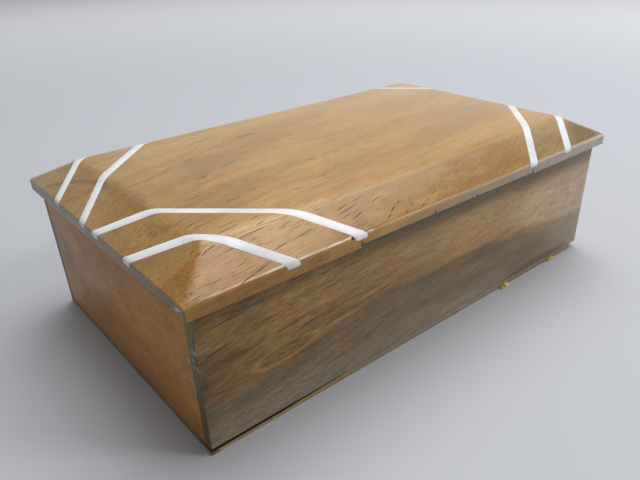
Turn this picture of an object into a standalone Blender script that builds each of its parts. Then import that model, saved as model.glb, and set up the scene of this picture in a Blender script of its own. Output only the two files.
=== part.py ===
"""Hardwood box with a hinged lid and metal strips let into the lid's corners.

The origin is the middle of the underside. X runs along the box, the front is
at -Y, the hinges are at +Y and Z is up. Every length is in metres.
"""

from math import asin, atan2, cos, pi, sin, tan

import bmesh
import bpy
from mathutils import Matrix, Vector

# Lid board
LID_LENGTH = 0.2000
LID_DEPTH = 0.1205
LID_RIM_HEIGHT = 0.00435
LID_RISE = 0.0077
LID_MARGIN = 0.0144
LID_RIM_RADIUS = 0.0006
LID_SHOULDER_RADIUS = 0.0060

# Shallow relief under the front rim, between the two inner strips
FINGER_PULL_HEIGHT = 0.0009
FINGER_PULL_DEPTH = 0.0024

# Body
BODY_HEIGHT = 0.0491
END_OVERHANG = 0.0022
SIDE_OVERHANG = 0.0030
WALL_THICKNESS = 0.0060
REBATE_LAP = 0.0018
CORNER_RADIUS = 0.0008
PANEL_THICKNESS = 0.0020
PANEL_SETBACK = 0.0045

# Metal strips: where the middle of each one meets the two edges of the lid, from the
# lid's corner, as a share of the lid's half length along a side and half depth along an end
INLAY_WIDTH = 0.0032
INLAY_DEPTH = 0.00165
FRONT_LEFT_INNER_SIDE_SHARE = 0.592
FRONT_LEFT_INNER_END_SHARE = 0.939
FRONT_LEFT_OUTER_SIDE_SHARE = 0.339
FRONT_LEFT_OUTER_END_SHARE = 0.554
BACK_LEFT_INNER_SIDE_SHARE = 0.542
BACK_LEFT_INNER_END_SHARE = 0.890
BACK_LEFT_OUTER_SIDE_SHARE = 0.310
BACK_LEFT_OUTER_END_SHARE = 0.501
FRONT_RIGHT_INNER_SIDE_SHARE = 0.521
FRONT_RIGHT_INNER_END_SHARE = 0.883
FRONT_RIGHT_OUTER_SIDE_SHARE = 0.285
FRONT_RIGHT_OUTER_END_SHARE = 0.490
BACK_RIGHT_INNER_SIDE_SHARE = 0.475
BACK_RIGHT_INNER_END_SHARE = 0.830
BACK_RIGHT_OUTER_SIDE_SHARE = 0.288
BACK_RIGHT_OUTER_END_SHARE = 0.485

# Saw cuts that run on below the two inner strips, down through the front rim
OVERCUT_WIDTH = 0.0008
OVERCUT_LENGTH = 0.0016

# Hinges
HINGE_FROM_END = 0.0428
HINGE_LENGTH = 0.0250
LEAF_THICKNESS = 0.0010
LEAF_REACH = 0.0055
KNUCKLE_RADIUS = 0.0015
KNUCKLE_SETBACK = 0.00065
PIN_RADIUS = 0.0006
PIN_CLEARANCE = 0.00015

# Hinge screws
SCREW_FROM_HINGE_END = 0.0050
SCREW_LENGTH = 0.0060
SCREW_HEAD_RADIUS = 0.00135
SCREW_HEAD_HEIGHT = 0.0007
SCREW_SHANK_RADIUS = 0.0007
SCREW_POINT_LENGTH = 0.0014
SLOT_WIDTH = 0.0004
SLOT_DEPTH = 0.0003

# Gaps between pieces, and how far a cutter runs past what it cuts
FIT_GAP = 0.0003
OVERRUN = 0.0020

# Facets of round shapes
ARC_STEPS = 5
ROUND_SIDES = 20

WOOD_BROWN = (0.36, 0.20, 0.085)
WOOD_TAN = (0.46, 0.30, 0.14)
SILVER_WHITE = (0.86, 0.86, 0.85)
BRASS_YELLOW = (0.72, 0.52, 0.22)
SCREW_YELLOW = (0.62, 0.45, 0.20)

# Places worked out from the sizes above
lid_half_length = LID_LENGTH / 2
lid_half_depth = LID_DEPTH / 2
lid_bottom = BODY_HEIGHT + FIT_GAP
rim_top = lid_bottom + LID_RIM_HEIGHT
field_top = rim_top + LID_RISE
margin_fall = LID_RISE / LID_MARGIN
body_half_length = lid_half_length - END_OVERHANG
body_half_depth = lid_half_depth - SIDE_OVERHANG
wall_bottom = PANEL_THICKNESS + FIT_GAP
joint_height = (BODY_HEIGHT + lid_bottom) / 2
left_cut_x = lid_half_length * (FRONT_LEFT_INNER_SIDE_SHARE - 1)
right_cut_x = lid_half_length * (1 - FRONT_RIGHT_INNER_SIDE_SHARE)
hinge_offset_x = body_half_length - HINGE_FROM_END
hinge_axis_y = body_half_depth + KNUCKLE_SETBACK
leaf_front = hinge_axis_y - LEAF_REACH
barrel_front = hinge_axis_y - KNUCKLE_RADIUS - FIT_GAP
screw_offset_x = HINGE_LENGTH / 2 - SCREW_FROM_HINGE_END
screw_y = (leaf_front + barrel_front) / 2


def clear_scene():
    for old in list(bpy.data.objects):
        bpy.data.objects.remove(old, do_unlink=True)


def make_material(name, colour, roughness, metallic):
    material = bpy.data.materials.new(name)
    material.use_nodes = True
    shader = material.node_tree.nodes["Principled BSDF"]
    shader.inputs["Base Color"].default_value = (*colour, 1.0)
    shader.inputs["Roughness"].default_value = roughness
    shader.inputs["Metallic"].default_value = metallic
    return material


def make_object(name, shape, material=None):
    """Turns a bmesh into an object. One with no material is a helper that isn't rendered."""
    bmesh.ops.recalc_face_normals(shape, faces=shape.faces)
    mesh = bpy.data.meshes.new(name)
    shape.to_mesh(mesh)
    shape.free()
    made = bpy.data.objects.new(name, mesh)
    bpy.context.scene.collection.objects.link(made)
    if material:
        mesh.materials.append(material)
    else:
        made.hide_render = True
        made.display_type = "WIRE"
    return made


def combine(target, operation, *others):
    for other in others:
        step = target.modifiers.new(operation.title() + " " + other.name, "BOOLEAN")
        step.operation = operation
        step.solver = "EXACT"
        step.object = other
    return target


def block(name, low, high, material=None):
    """A straight-sided block between two opposite corners."""
    shape = bmesh.new()
    size = Vector(high) - Vector(low)
    middle = (Vector(high) + Vector(low)) / 2
    bmesh.ops.create_cube(shape, size=1)
    bmesh.ops.scale(shape, vec=size, verts=shape.verts)
    bmesh.ops.translate(shape, vec=middle, verts=shape.verts)
    return make_object(name, shape, material)


def prism(name, outline, rise, material=None):
    """A flat outline of (x, y, z) points, extruded by the vector rise."""
    shape = bmesh.new()
    floor = shape.faces.new([shape.verts.new(point) for point in outline])
    raised = bmesh.ops.extrude_face_region(shape, geom=[floor])["geom"]
    moved = [item for item in raised if isinstance(item, bmesh.types.BMVert)]
    bmesh.ops.translate(shape, vec=rise, verts=moved)
    return make_object(name, shape, material)


def turned(name, profile, material=None):
    """A solid turned about Z from (radius, height) points that begin and end at radius 0."""
    shape = bmesh.new()
    points = [shape.verts.new((radius, 0, height)) for radius, height in profile]
    edges = [shape.edges.new(pair) for pair in zip(points, points[1:])]
    bmesh.ops.spin(
        shape,
        geom=points + edges,
        cent=(0, 0, 0),
        axis=(0, 0, 1),
        angle=2 * pi,
        steps=ROUND_SIDES,
        use_duplicate=False,
    )
    bmesh.ops.remove_doubles(shape, verts=shape.verts, dist=PIN_CLEARANCE / ROUND_SIDES)
    return make_object(name, shape, material)


def rod(name, radius, start_x, end_x, y, z, material=None):
    """A round bar along X."""
    shape = bmesh.new()
    length = end_x - start_x
    bmesh.ops.create_cone(
        shape,
        cap_ends=True,
        segments=ROUND_SIDES,
        radius1=radius,
        radius2=radius,
        depth=length,
        matrix=Matrix.Translation((start_x + length / 2, y, z)) @ Matrix.Rotation(pi / 2, 4, "Y"),
    )
    return make_object(name, shape, material)


def soften(points, radii):
    """Replaces the inner corners of an open outline with arcs. Radius 0 keeps a corner."""
    softened = [points[0]]
    for before, corner, after, radius in zip(points, points[1:], points[2:], radii):
        corner = Vector(corner)
        to_before = (Vector(before) - corner).normalized()
        to_after = (Vector(after) - corner).normalized()
        if radius == 0:
            softened.append(tuple(corner))
            continue
        half = to_before.angle(to_after) / 2
        reach = radius / tan(half)
        centre = corner + (to_before + to_after).normalized() * (radius / sin(half))
        first = corner + to_before * reach - centre
        last = corner + to_after * reach - centre
        turn = atan2(first.cross(last), first.dot(last))
        for step in range(ARC_STEPS + 1):
            spoke = first.copy()
            spoke.rotate(Matrix.Rotation(turn * step / ARC_STEPS, 2))
            softened.append(tuple(centre + spoke))
    softened.append(points[-1])
    return softened


def lid_form(name, spread=0.0, drop=0.0):
    """The lid's outer form, as rings of four corners from its underside up to its field.

    With a spread and a drop it is the lower, wider form whose top is the floor
    of the kerfs.
    """
    foot = lid_bottom - spread - drop
    edge = rim_top - spread * margin_fall - drop
    shoulder = (LID_MARGIN, field_top - drop)
    outline = [(-spread, foot), (-spread, edge), shoulder, (2 * LID_MARGIN, shoulder[1])]
    rim_radius = 0 if spread else LID_RIM_RADIUS
    rings = soften(outline, (rim_radius, LID_SHOULDER_RADIUS))[:-1]
    shape = bmesh.new()
    loops = []
    for inset, height in rings:
        x, y = lid_half_length - inset, lid_half_depth - inset
        corners = ((-x, -y), (x, -y), (x, y), (-x, y))
        loops.append([shape.verts.new((*corner, height)) for corner in corners])
    shape.faces.new(reversed(loops[0]))
    shape.faces.new(loops[-1])
    for lower, upper in zip(loops, loops[1:]):
        for side in range(4):
            after = (side + 1) % 4
            shape.faces.new((lower[side], lower[after], upper[after], upper[side]))
    return make_object(name, shape)


def strip_slab(name, corner, side_share, end_share, width):
    """An upright slab across one corner of the lid, as high as the lid."""
    side, end = corner
    at_end = Vector((end * lid_half_length, side * lid_half_depth * (1 - end_share)))
    at_side = Vector((end * lid_half_length * (1 - side_share), side * lid_half_depth))
    forward = (at_side - at_end).normalized()
    across = Vector((-forward.y, forward.x)) * width / 2
    start = at_end - forward * (width + OVERRUN)
    finish = at_side + forward * (width + OVERRUN)
    corners = (start - across, finish - across, finish + across, start + across)
    outline = [(*point, lid_bottom) for point in corners]
    return prism(name, outline, (0, 0, field_top + OVERRUN - lid_bottom))


def inlay_places():
    """Each strip's name, its corner as (side, end), and its two shares."""
    return {
        "front_left_inner": ((-1, -1), FRONT_LEFT_INNER_SIDE_SHARE, FRONT_LEFT_INNER_END_SHARE),
        "front_left_outer": ((-1, -1), FRONT_LEFT_OUTER_SIDE_SHARE, FRONT_LEFT_OUTER_END_SHARE),
        "back_left_inner": ((1, -1), BACK_LEFT_INNER_SIDE_SHARE, BACK_LEFT_INNER_END_SHARE),
        "back_left_outer": ((1, -1), BACK_LEFT_OUTER_SIDE_SHARE, BACK_LEFT_OUTER_END_SHARE),
        "front_right_inner": ((-1, 1), FRONT_RIGHT_INNER_SIDE_SHARE, FRONT_RIGHT_INNER_END_SHARE),
        "front_right_outer": ((-1, 1), FRONT_RIGHT_OUTER_SIDE_SHARE, FRONT_RIGHT_OUTER_END_SHARE),
        "back_right_inner": ((1, 1), BACK_RIGHT_INNER_SIDE_SHARE, BACK_RIGHT_INNER_END_SHARE),
        "back_right_outer": ((1, 1), BACK_RIGHT_OUTER_SIDE_SHARE, BACK_RIGHT_OUTER_END_SHARE),
    }


def build_inlays(lid, lid_blank, metal):
    """Cuts the kerfs in the lid and lays a strip in each, flush with the wood."""
    reach = INLAY_WIDTH + 2 * OVERRUN
    strip_floor = lid_form("cut_strip_floor", reach, INLAY_DEPTH)
    kerf_floor = lid_form("cut_kerf_floor", reach, INLAY_DEPTH + FIT_GAP)
    for place, (corner, side_share, end_share) in inlay_places().items():
        kerf_width = INLAY_WIDTH + 2 * FIT_GAP
        kerf = strip_slab("cut_kerf_" + place, corner, side_share, end_share, kerf_width)
        combine(kerf, "DIFFERENCE", kerf_floor)
        combine(lid, "DIFFERENCE", kerf)
        strip = strip_slab("inlay_" + place, corner, side_share, end_share, INLAY_WIDTH)
        combine(strip, "INTERSECT", lid_blank)
        combine(strip, "DIFFERENCE", strip_floor)
        strip.hide_render = False
        strip.display_type = "TEXTURED"
        strip.data.materials.append(metal)


def build_overcuts(lid):
    """Thin saw cuts below the two inner strips, down through the front rim."""
    for name, x in (("left", left_cut_x), ("right", right_cut_x)):
        low = (x - OVERCUT_WIDTH / 2, -lid_half_depth - OVERRUN, lid_bottom - OVERRUN)
        high = (x + OVERCUT_WIDTH / 2, -lid_half_depth + OVERCUT_LENGTH, rim_top - INLAY_DEPTH)
        combine(lid, "DIFFERENCE", block("cut_overcut_" + name, low, high))


def build_finger_pull(lid):
    """A shallow relief planed away under the rim, from one saw cut to the other."""
    low = (left_cut_x, -lid_half_depth - OVERRUN, lid_bottom - OVERRUN)
    high = (right_cut_x, -lid_half_depth + FINGER_PULL_DEPTH, lid_bottom + FINGER_PULL_HEIGHT)
    combine(lid, "DIFFERENCE", block("cut_finger_pull", low, high))


def build_lid(wood):
    lid = lid_form("lid_board")
    lid.hide_render = False
    lid.display_type = "TEXTURED"
    lid.data.materials.append(wood)
    return lid


def long_wall_outline(side):
    """Plan of a long board: full length, with a rebate at each end that takes the end board."""
    outer = body_half_depth
    inner = outer - WALL_THICKNESS
    lap = outer - REBATE_LAP
    end = body_half_length
    shoulder = end - WALL_THICKNESS - FIT_GAP
    half = [(0, outer), (end, outer), (end, lap), (shoulder, lap), (shoulder, inner), (0, inner)]
    half = soften(half, (CORNER_RADIUS, 0, 0, 0))[1:-1]
    mirrored = [(-x, y) for x, y in reversed(half)]
    return [(x, side * y, wall_bottom) for x, y in half + mirrored]


def build_walls(wood):
    """The two long boards, and the two end boards between their rebates."""
    for name, side in (("front_wall", -1), ("back_wall", 1)):
        prism(name, long_wall_outline(side), (0, 0, BODY_HEIGHT - wall_bottom), wood)
    half_width = body_half_depth - REBATE_LAP - FIT_GAP
    for name, end in (("left_end", -1), ("right_end", 1)):
        faces = sorted((end * body_half_length, end * (body_half_length - WALL_THICKNESS)))
        low = (faces[0], -half_width, wall_bottom)
        high = (faces[1], half_width, BODY_HEIGHT)
        block(name, low, high, wood)


def build_bottom(wood):
    low = (-body_half_length, -body_half_depth, 0)
    high = (body_half_length - PANEL_SETBACK, body_half_depth, PANEL_THICKNESS)
    block("bottom_panel", low, high, wood)


def countersink(name, x, face, sign):
    """The hole that a screw and its head leave, running from a leaf's face into the wood."""
    reach = SCREW_LENGTH + FIT_GAP
    shank = SCREW_SHANK_RADIUS + FIT_GAP
    mouth = SCREW_HEAD_RADIUS + FIT_GAP
    profile = [(0, OVERRUN), (mouth, OVERRUN), (mouth, 0)]
    profile += [(shank, -SCREW_HEAD_HEIGHT), (shank, -reach), (0, -reach)]
    hole = turned(name, profile)
    place_upright(hole, x, face, sign)
    return hole


def place_upright(made, x, face, sign):
    """Stands a turned piece at a screw's place, its head towards the joint between box and lid."""
    if sign < 0:
        made.data.transform(Matrix.Rotation(pi, 4, "X"))
    made.data.transform(Matrix.Translation((x, screw_y, face)))


def build_screw(name, x, face, sign, brass):
    shank = SCREW_SHANK_RADIUS
    point = SCREW_LENGTH - SCREW_POINT_LENGTH
    profile = [(0, 0), (SCREW_HEAD_RADIUS, 0), (shank, -SCREW_HEAD_HEIGHT)]
    profile += [(shank, -point), (0, -SCREW_LENGTH)]
    screw = turned(name, profile, brass)
    place_upright(screw, x, face, sign)
    reach = SCREW_HEAD_RADIUS + OVERRUN
    heights = sorted((face + sign * OVERRUN, face - sign * SLOT_DEPTH))
    low = (x - reach, screw_y - SLOT_WIDTH / 2, heights[0])
    high = (x + reach, screw_y + SLOT_WIDTH / 2, heights[1])
    combine(screw, "DIFFERENCE", block("cut_slot_" + name, low, high))


def knuckle_spans(centre_x):
    """Start and end along X of a hinge's three knuckles."""
    length = (HINGE_LENGTH - 2 * FIT_GAP) / 3
    start = centre_x - HINGE_LENGTH / 2
    return [(start + n * (length + FIT_GAP), start + n * (length + FIT_GAP) + length) for n in range(3)]


def leaf_outline(x, sign):
    """Section of a leaf: a plate that runs into the round barrel at its back edge."""
    face = -FIT_GAP / 2
    back = face - LEAF_THICKNESS
    first = pi + asin(-back / KNUCKLE_RADIUS)
    last = 3 * pi + asin(-face / KNUCKLE_RADIUS)
    section = [(-LEAF_REACH, face), (-LEAF_REACH, back)]
    for step in range(ROUND_SIDES + 1):
        angle = first + (last - first) * step / ROUND_SIDES
        section.append((KNUCKLE_RADIUS * cos(angle), KNUCKLE_RADIUS * sin(angle)))
    return [(x, hinge_axis_y + y, joint_height + sign * z) for y, z in section]


def build_leaf(name, centre_x, gaps, sign, brass):
    """One leaf of a hinge. The gaps between its knuckles take those of the other leaf.

    The sign is 1 on the box, where the leaf's face looks up, and -1 on the lid.
    """
    start = centre_x - HINGE_LENGTH / 2
    leaf = prism(name, leaf_outline(start, sign), (HINGE_LENGTH, 0, 0), brass)
    reach = KNUCKLE_RADIUS + OVERRUN
    for number, (gap_start, gap_end) in enumerate(gaps):
        low = (gap_start, barrel_front, joint_height - reach)
        high = (gap_end, hinge_axis_y + reach, joint_height + reach)
        combine(leaf, "DIFFERENCE", block(f"cut_gap_{name}_{number}", low, high))
    bore_ends = (start - OVERRUN, start + HINGE_LENGTH + OVERRUN)
    bore_radius = PIN_RADIUS + PIN_CLEARANCE
    bore = rod("cut_bore_" + name, bore_radius, *bore_ends, hinge_axis_y, joint_height)
    combine(leaf, "DIFFERENCE", bore)
    return leaf


def build_recess(wood, name, centre_x, face, sign):
    """Lets one leaf and the barrel into the wood, out through the back."""
    half = HINGE_LENGTH / 2 + FIT_GAP
    back = lid_half_depth + OVERRUN
    for kind, front, floor in (
        ("leaf", leaf_front - FIT_GAP, face - sign * (LEAF_THICKNESS + FIT_GAP)),
        ("barrel", barrel_front, joint_height - sign * (KNUCKLE_RADIUS + FIT_GAP)),
    ):
        heights = sorted((floor, face + sign * OVERRUN))
        low = (centre_x - half, front, heights[0])
        high = (centre_x + half, back, heights[1])
        combine(wood, "DIFFERENCE", block(f"cut_{kind}_{name}", low, high))


def build_hinge(hand, centre_x, back_wall, lid, brass, screw_brass):
    """A butt hinge with three knuckles: the outer two on the box, the middle one on the lid."""
    (left_start, left_end), (middle_start, middle_end), (right_start, right_end) = knuckle_spans(centre_x)
    lid_gaps = ((left_start - OVERRUN, middle_start), (middle_end, right_end + OVERRUN))
    parts = (
        ("box", back_wall, BODY_HEIGHT, 1, ((left_end, right_start),)),
        ("lid", lid, lid_bottom, -1, lid_gaps),
    )
    for role, wood, face, sign, gaps in parts:
        tag = f"{hand}_hinge_{role}"
        leaf = build_leaf(tag + "_leaf", centre_x, gaps, sign, brass)
        build_recess(wood, tag, centre_x, face, sign)
        for end, offset in (("left", -screw_offset_x), ("right", screw_offset_x)):
            screw = f"{tag}_screw_{end}"
            hole = countersink("cut_hole_" + screw, centre_x + offset, face, sign)
            combine(leaf, "DIFFERENCE", hole)
            combine(wood, "DIFFERENCE", hole)
            build_screw(screw, centre_x + offset, face, sign, screw_brass)
    half = HINGE_LENGTH / 2
    rod(f"{hand}_hinge_pin", PIN_RADIUS, centre_x - half, centre_x + half, hinge_axis_y, joint_height, brass)


def put_lid_on_its_axis():
    """An empty on the hinge axis carries every piece that turns with the lid."""
    axis = bpy.data.objects.new("lid_axis", None)
    axis.location = (0, hinge_axis_y, joint_height)
    bpy.context.scene.collection.objects.link(axis)
    bpy.context.view_layer.update()
    for piece in bpy.data.objects:
        turns = piece.name.startswith(("inlay_", "lid_board")) or "_hinge_lid_" in piece.name
        if turns and not piece.hide_render:
            piece.parent = axis
            piece.matrix_parent_inverse = axis.matrix_world.inverted()


def main():
    clear_scene()
    wood = make_material("brown_hardwood", WOOD_BROWN, 0.45, 0.0)
    panel_wood = make_material("tan_board", WOOD_TAN, 0.6, 0.0)
    silver = make_material("silver_white_metal", SILVER_WHITE, 0.3, 1.0)
    brass = make_material("brass", BRASS_YELLOW, 0.35, 1.0)
    screw_brass = make_material("screw_brass", SCREW_YELLOW, 0.4, 1.0)
    lid = build_lid(wood)
    build_inlays(lid, lid_form("lid_blank"), silver)
    build_finger_pull(lid)
    build_overcuts(lid)
    build_walls(wood)
    build_bottom(panel_wood)
    back_wall = bpy.data.objects["back_wall"]
    for hand, centre_x in (("left", -hinge_offset_x), ("right", hinge_offset_x)):
        build_hinge(hand, centre_x, back_wall, lid, brass, screw_brass)
    put_lid_on_its_axis()


main()
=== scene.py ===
from math import atan2, cos, pi, radians, sin

import bmesh
import bpy
from mathutils import Matrix, Vector


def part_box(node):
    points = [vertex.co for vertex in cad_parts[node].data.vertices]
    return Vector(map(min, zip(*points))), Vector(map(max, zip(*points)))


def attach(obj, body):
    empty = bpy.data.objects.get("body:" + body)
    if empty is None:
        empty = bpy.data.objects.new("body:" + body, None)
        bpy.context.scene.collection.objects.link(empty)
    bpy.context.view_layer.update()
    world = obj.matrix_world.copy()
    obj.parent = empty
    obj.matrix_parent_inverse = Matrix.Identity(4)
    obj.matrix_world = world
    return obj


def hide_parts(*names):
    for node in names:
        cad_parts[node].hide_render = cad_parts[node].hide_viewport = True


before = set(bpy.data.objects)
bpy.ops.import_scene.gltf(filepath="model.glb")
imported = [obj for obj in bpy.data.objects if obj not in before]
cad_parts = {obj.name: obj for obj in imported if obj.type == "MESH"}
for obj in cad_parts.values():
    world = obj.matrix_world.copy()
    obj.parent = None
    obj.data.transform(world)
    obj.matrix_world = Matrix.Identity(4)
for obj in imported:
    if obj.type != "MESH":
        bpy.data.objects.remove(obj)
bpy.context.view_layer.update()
mm = 0.001
close = 0.005 * mm  # points nearer than this are merged
print("frame loaded")


def deselect():
    if bpy.context.object and bpy.context.object.mode != "OBJECT":
        bpy.ops.object.mode_set(mode="OBJECT")
    bpy.ops.object.select_all(action="DESELECT")


def activate(piece):
    deselect()
    piece.select_set(True)
    bpy.context.view_layer.objects.active = piece


def bake(piece):
    # place, turn and scale go into the mesh
    activate(piece)
    bpy.ops.object.transform_apply(location=True, rotation=True, scale=True)
    return piece


def named(name):
    piece = bpy.context.object
    piece.name = name
    piece.data.name = name
    return bake(piece)


def addBlock(name, low, high):
    deselect()
    middle = [(a + b) / 2 for a, b in zip(low, high)]
    size = [b - a for a, b in zip(low, high)]
    bpy.ops.mesh.primitive_cube_add(size=1, location=middle, scale=size)
    return named(name)


def addRod(name, radius, fromX, toX, y, z, sides):
    deselect()
    bpy.ops.mesh.primitive_cylinder_add(
        vertices=sides, radius=radius, depth=toX - fromX,
        location=((fromX + toX) / 2, y, z), rotation=(0, pi / 2, 0))
    return named(name)


def edit(piece, kind):
    activate(piece)
    bpy.ops.object.mode_set(mode="EDIT")
    bpy.ops.mesh.select_mode(type=kind)
    bpy.ops.mesh.select_all(action="DESELECT")


def pick(piece, kind, test):
    # selects the faces, edges or points that pass a test, by their place or normal
    bpy.ops.mesh.select_mode(type=kind)
    bpy.ops.mesh.select_all(action="DESELECT")
    shape = bmesh.from_edit_mesh(piece.data)
    parts = {"FACE": shape.faces, "EDGE": shape.edges, "VERT": shape.verts}[kind]
    for part in parts:
        if test(part):
            part.select_set(True)
    shape.select_flush_mode()
    bmesh.update_edit_mesh(piece.data)
    return sum(part.select for part in parts)


def pull(x, y, z):
    # draws the picked faces out
    bpy.ops.mesh.extrude_region_move(TRANSFORM_OT_translate={"value": (x, y, z)})


def cutAcross(at, facing, remove=False):
    # cuts the whole mesh along a plane, and can take off what lies beyond
    bpy.ops.mesh.select_all(action="SELECT")
    bpy.ops.mesh.bisect(plane_co=at, plane_no=facing, use_fill=remove, clear_outer=remove)


def leave():
    bpy.ops.object.mode_set(mode="OBJECT")


def middleOf(edge):
    return (edge.verts[0].co + edge.verts[1].co) / 2


def applyAll(piece):
    activate(piece)
    for step in list(piece.modifiers):
        bpy.ops.object.modifier_apply(modifier=step.name)


def carve(piece, cutter, operation="DIFFERENCE", keep=False, transfer=False):
    step = piece.modifiers.new("carve", "BOOLEAN")
    step.operation = operation
    step.solver = "EXACT"
    step.object = cutter
    if transfer:
        step.material_mode = "TRANSFER"
    applyAll(piece)
    if not keep:
        bpy.data.objects.remove(cutter, do_unlink=True)


def copyOf(piece, name):
    made = piece.copy()
    made.data = piece.data.copy()
    made.name = name
    made.data.name = name
    bpy.context.scene.collection.objects.link(made)
    return made


def joinTo(piece, other):
    activate(piece)
    other.select_set(True)
    bpy.ops.object.join()


def softenEdges(piece, width, segments=2, angle=40):
    step = piece.modifiers.new("soften", "BEVEL")
    step.width = width
    step.segments = segments
    step.limit_method = "ANGLE"
    step.angle_limit = radians(angle)
    step.harden_normals = False
    applyAll(piece)


def shade(piece):
    activate(piece)
    bpy.ops.object.shade_smooth_by_angle(angle=radians(35))


def tidyMesh(piece):
    activate(piece)
    bpy.ops.object.mode_set(mode="EDIT")
    bpy.ops.mesh.select_mode(type="VERT")
    bpy.ops.mesh.select_all(action="SELECT")
    bpy.ops.mesh.remove_doubles(threshold=close)
    bpy.ops.mesh.dissolve_degenerate(threshold=close)
    bpy.ops.mesh.normals_make_consistent(inside=False)
    leave()


def tint(code):
    # a screen colour as the linear values that a shader wants
    parts = [int(code[n:n + 2], 16) / 255 for n in (0, 2, 4)]
    return tuple(p / 12.92 if p < 0.04045 else ((p + 0.055) / 1.055) ** 2.4 for p in parts) + (1,)


class Wire:
    # a socket that can stand in a formula
    def __init__(self, graph, socket):
        self.graph = graph
        self.socket = socket

    def maths(self, operation, *values, **settings):
        return self.graph.node("Math", {"operation": operation, **settings}, values)

    def orMore(self, other):
        return self.maths("MAXIMUM", self, other)

    def root(self):
        return self.maths("SQRT", self)

    def __add__(self, other):
        return self.maths("ADD", self, other)

    def __sub__(self, other):
        return self.maths("SUBTRACT", self, other)

    def __rsub__(self, other):
        return self.maths("SUBTRACT", other, self)

    def __mul__(self, other):
        return self.maths("MULTIPLY", self, other)

    def __truediv__(self, other):
        return self.maths("DIVIDE", self, other)

    def __abs__(self):
        return self.maths("ABSOLUTE", self)

    __radd__ = __add__
    __rmul__ = __mul__


class Graph:
    # the nodes of a new material, or of the world
    def __init__(self, name, world=None):
        self.material = world or bpy.data.materials.new(name)
        self.material.use_nodes = True
        self.tree = self.material.node_tree
        self.shader = self.tree.nodes["Background" if world else "Principled BSDF"]

    def node(self, kind, settings=None, inputs=(), output=0):
        made = self.tree.nodes.new("ShaderNode" + kind)
        for key, value in (settings or {}).items():
            setattr(made, key, value)
        pairs = inputs.items() if isinstance(inputs, dict) else enumerate(inputs)
        for key, value in pairs:
            self.plug(made.inputs[key], value)
        return Wire(self, made.outputs[output])

    def plug(self, socket, value):
        if isinstance(value, Wire):
            self.tree.links.new(value.socket, socket)
        else:
            socket.default_value = value

    def feed(self, name, value):
        self.plug(self.shader.inputs[name], value)

    def place(self):
        # object coordinates in millimetres
        spot = self.node("TexCoord", output="Object")
        return self.node("VectorMath", {"operation": "SCALE"}, {0: spot, "Scale": 1 / mm})

    def split(self, vector):
        node = self.node("SeparateXYZ", inputs=[vector]).socket.node
        return [Wire(self, node.outputs[n]) for n in range(3)]

    def join(self, x, y, z):
        return self.node("CombineXYZ", inputs=[x, y, z])

    def stretch(self, vector, x, y, z):
        return self.node("VectorMath", {"operation": "MULTIPLY"}, [vector, (x, y, z)])

    def noise(self, vector, scale=1.0, detail=3.0, rough=0.5):
        inputs = {"Vector": vector, "Scale": scale, "Detail": detail, "Roughness": rough, "Distortion": 0}
        return self.node("TexNoise", {"noise_dimensions": "3D"}, inputs, "Fac")

    def fit(self, value, fromLow, fromHigh, toLow=0.0, toHigh=1.0, curve="SMOOTHSTEP"):
        inputs = {"Value": value, "From Min": fromLow, "From Max": fromHigh,
                  "To Min": toLow, "To Max": toHigh}
        return self.node("MapRange", {"interpolation_type": curve}, inputs)

    def blend(self, share, first, second):
        settings = {"data_type": "RGBA", "blend_type": "MIX"}
        return self.node("Mix", settings, {0: share, 6: first, 7: second}, 2)

    def blot(self, vector, at, size, turn=0.0):
        # a soft long spot: 1 in its middle, 0 at its rim
        inputs = {"Vector": vector, "Location": at, "Rotation": (0, 0, radians(turn)), "Scale": size}
        inside = self.node("Mapping", {"vector_type": "TEXTURE"}, inputs)
        return self.node("TexGradient", {"gradient_type": "SPHERICAL"}, [inside], 1)

    def bump(self, height, strength, distance, under=None):
        inputs = {"Height": height, "Strength": strength, "Distance": distance}
        if under:
            inputs["Normal"] = under
        return self.node("Bump", inputs=inputs)


class Coat:
    # a ground colour with further tones laid over it
    def __init__(self, g, look):
        self.g = g
        self.look = look
        self.colour = tint(look["ground"])

    def lay(self, share, tone):
        self.colour = self.g.blend(share, self.colour, tint(self.look[tone]))

    def finish(self, rough, relief=None):
        self.g.feed("Base Color", self.colour)
        self.g.feed("Roughness", rough)
        if relief:
            self.g.feed("Normal", relief)
        return self.g.material


# half the lid's length and depth in millimetres, which is what the looks measure in
lidHalfX, lidHalfY = 100, 60.25


def lidGrain(g, x, y, z):
    # the front slope has its own run of grain, and the rest is cut straight through the board
    onSlope = g.fit(y + lidHalfY, 13.4, 13.7, 1, 0) * g.fit(x - y, -39.8, -39.5, 0, 1)
    above = g.fit(z, 49.5, 49.7)  # the underside shows the plain board
    onSlope = onSlope * g.fit(x + y, 39.5, 39.8, 1, 0) * above
    # the grain bows a little, on the slope and on the board each round a place of its own
    slopeBow = x + 38
    slope = (y + z) * 0.8 - x * 0.285 - (slopeBow * slopeBow + 200).root() * 0.16
    boardBow = x + 50
    board = y - x * 0.19 + (boardBow * boardBow + 400).root() * 0.10
    onEnd = g.fit(abs(x) - abs(y), 39.45, 40.05) * g.fit(abs(x), 85.4, 85.7) * above
    board = board + (z - 61.5) * 0.8 * onEnd
    return x * (1 + onEnd * 3), board + (slope - board) * onSlope, z * (1 - onSlope)


def wallGrain(g, x, y, z):
    # level at the left, falling to the right
    far = (x * x + 900).root()
    return x, z + x * 0.04 + far * 0.06, y


def endGrain(g, x, y, z):
    return y, z + y * 0.05, x


def panelGrain(g, x, y, z):
    return x, y, z


def lidCrowd(g, x, y, z):
    # most pores show on the front slope and near it
    return g.fit(y, -46, -30, 1.0, 0.5) * g.fit(x, -60, -10, 1, 0.4)


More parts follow.
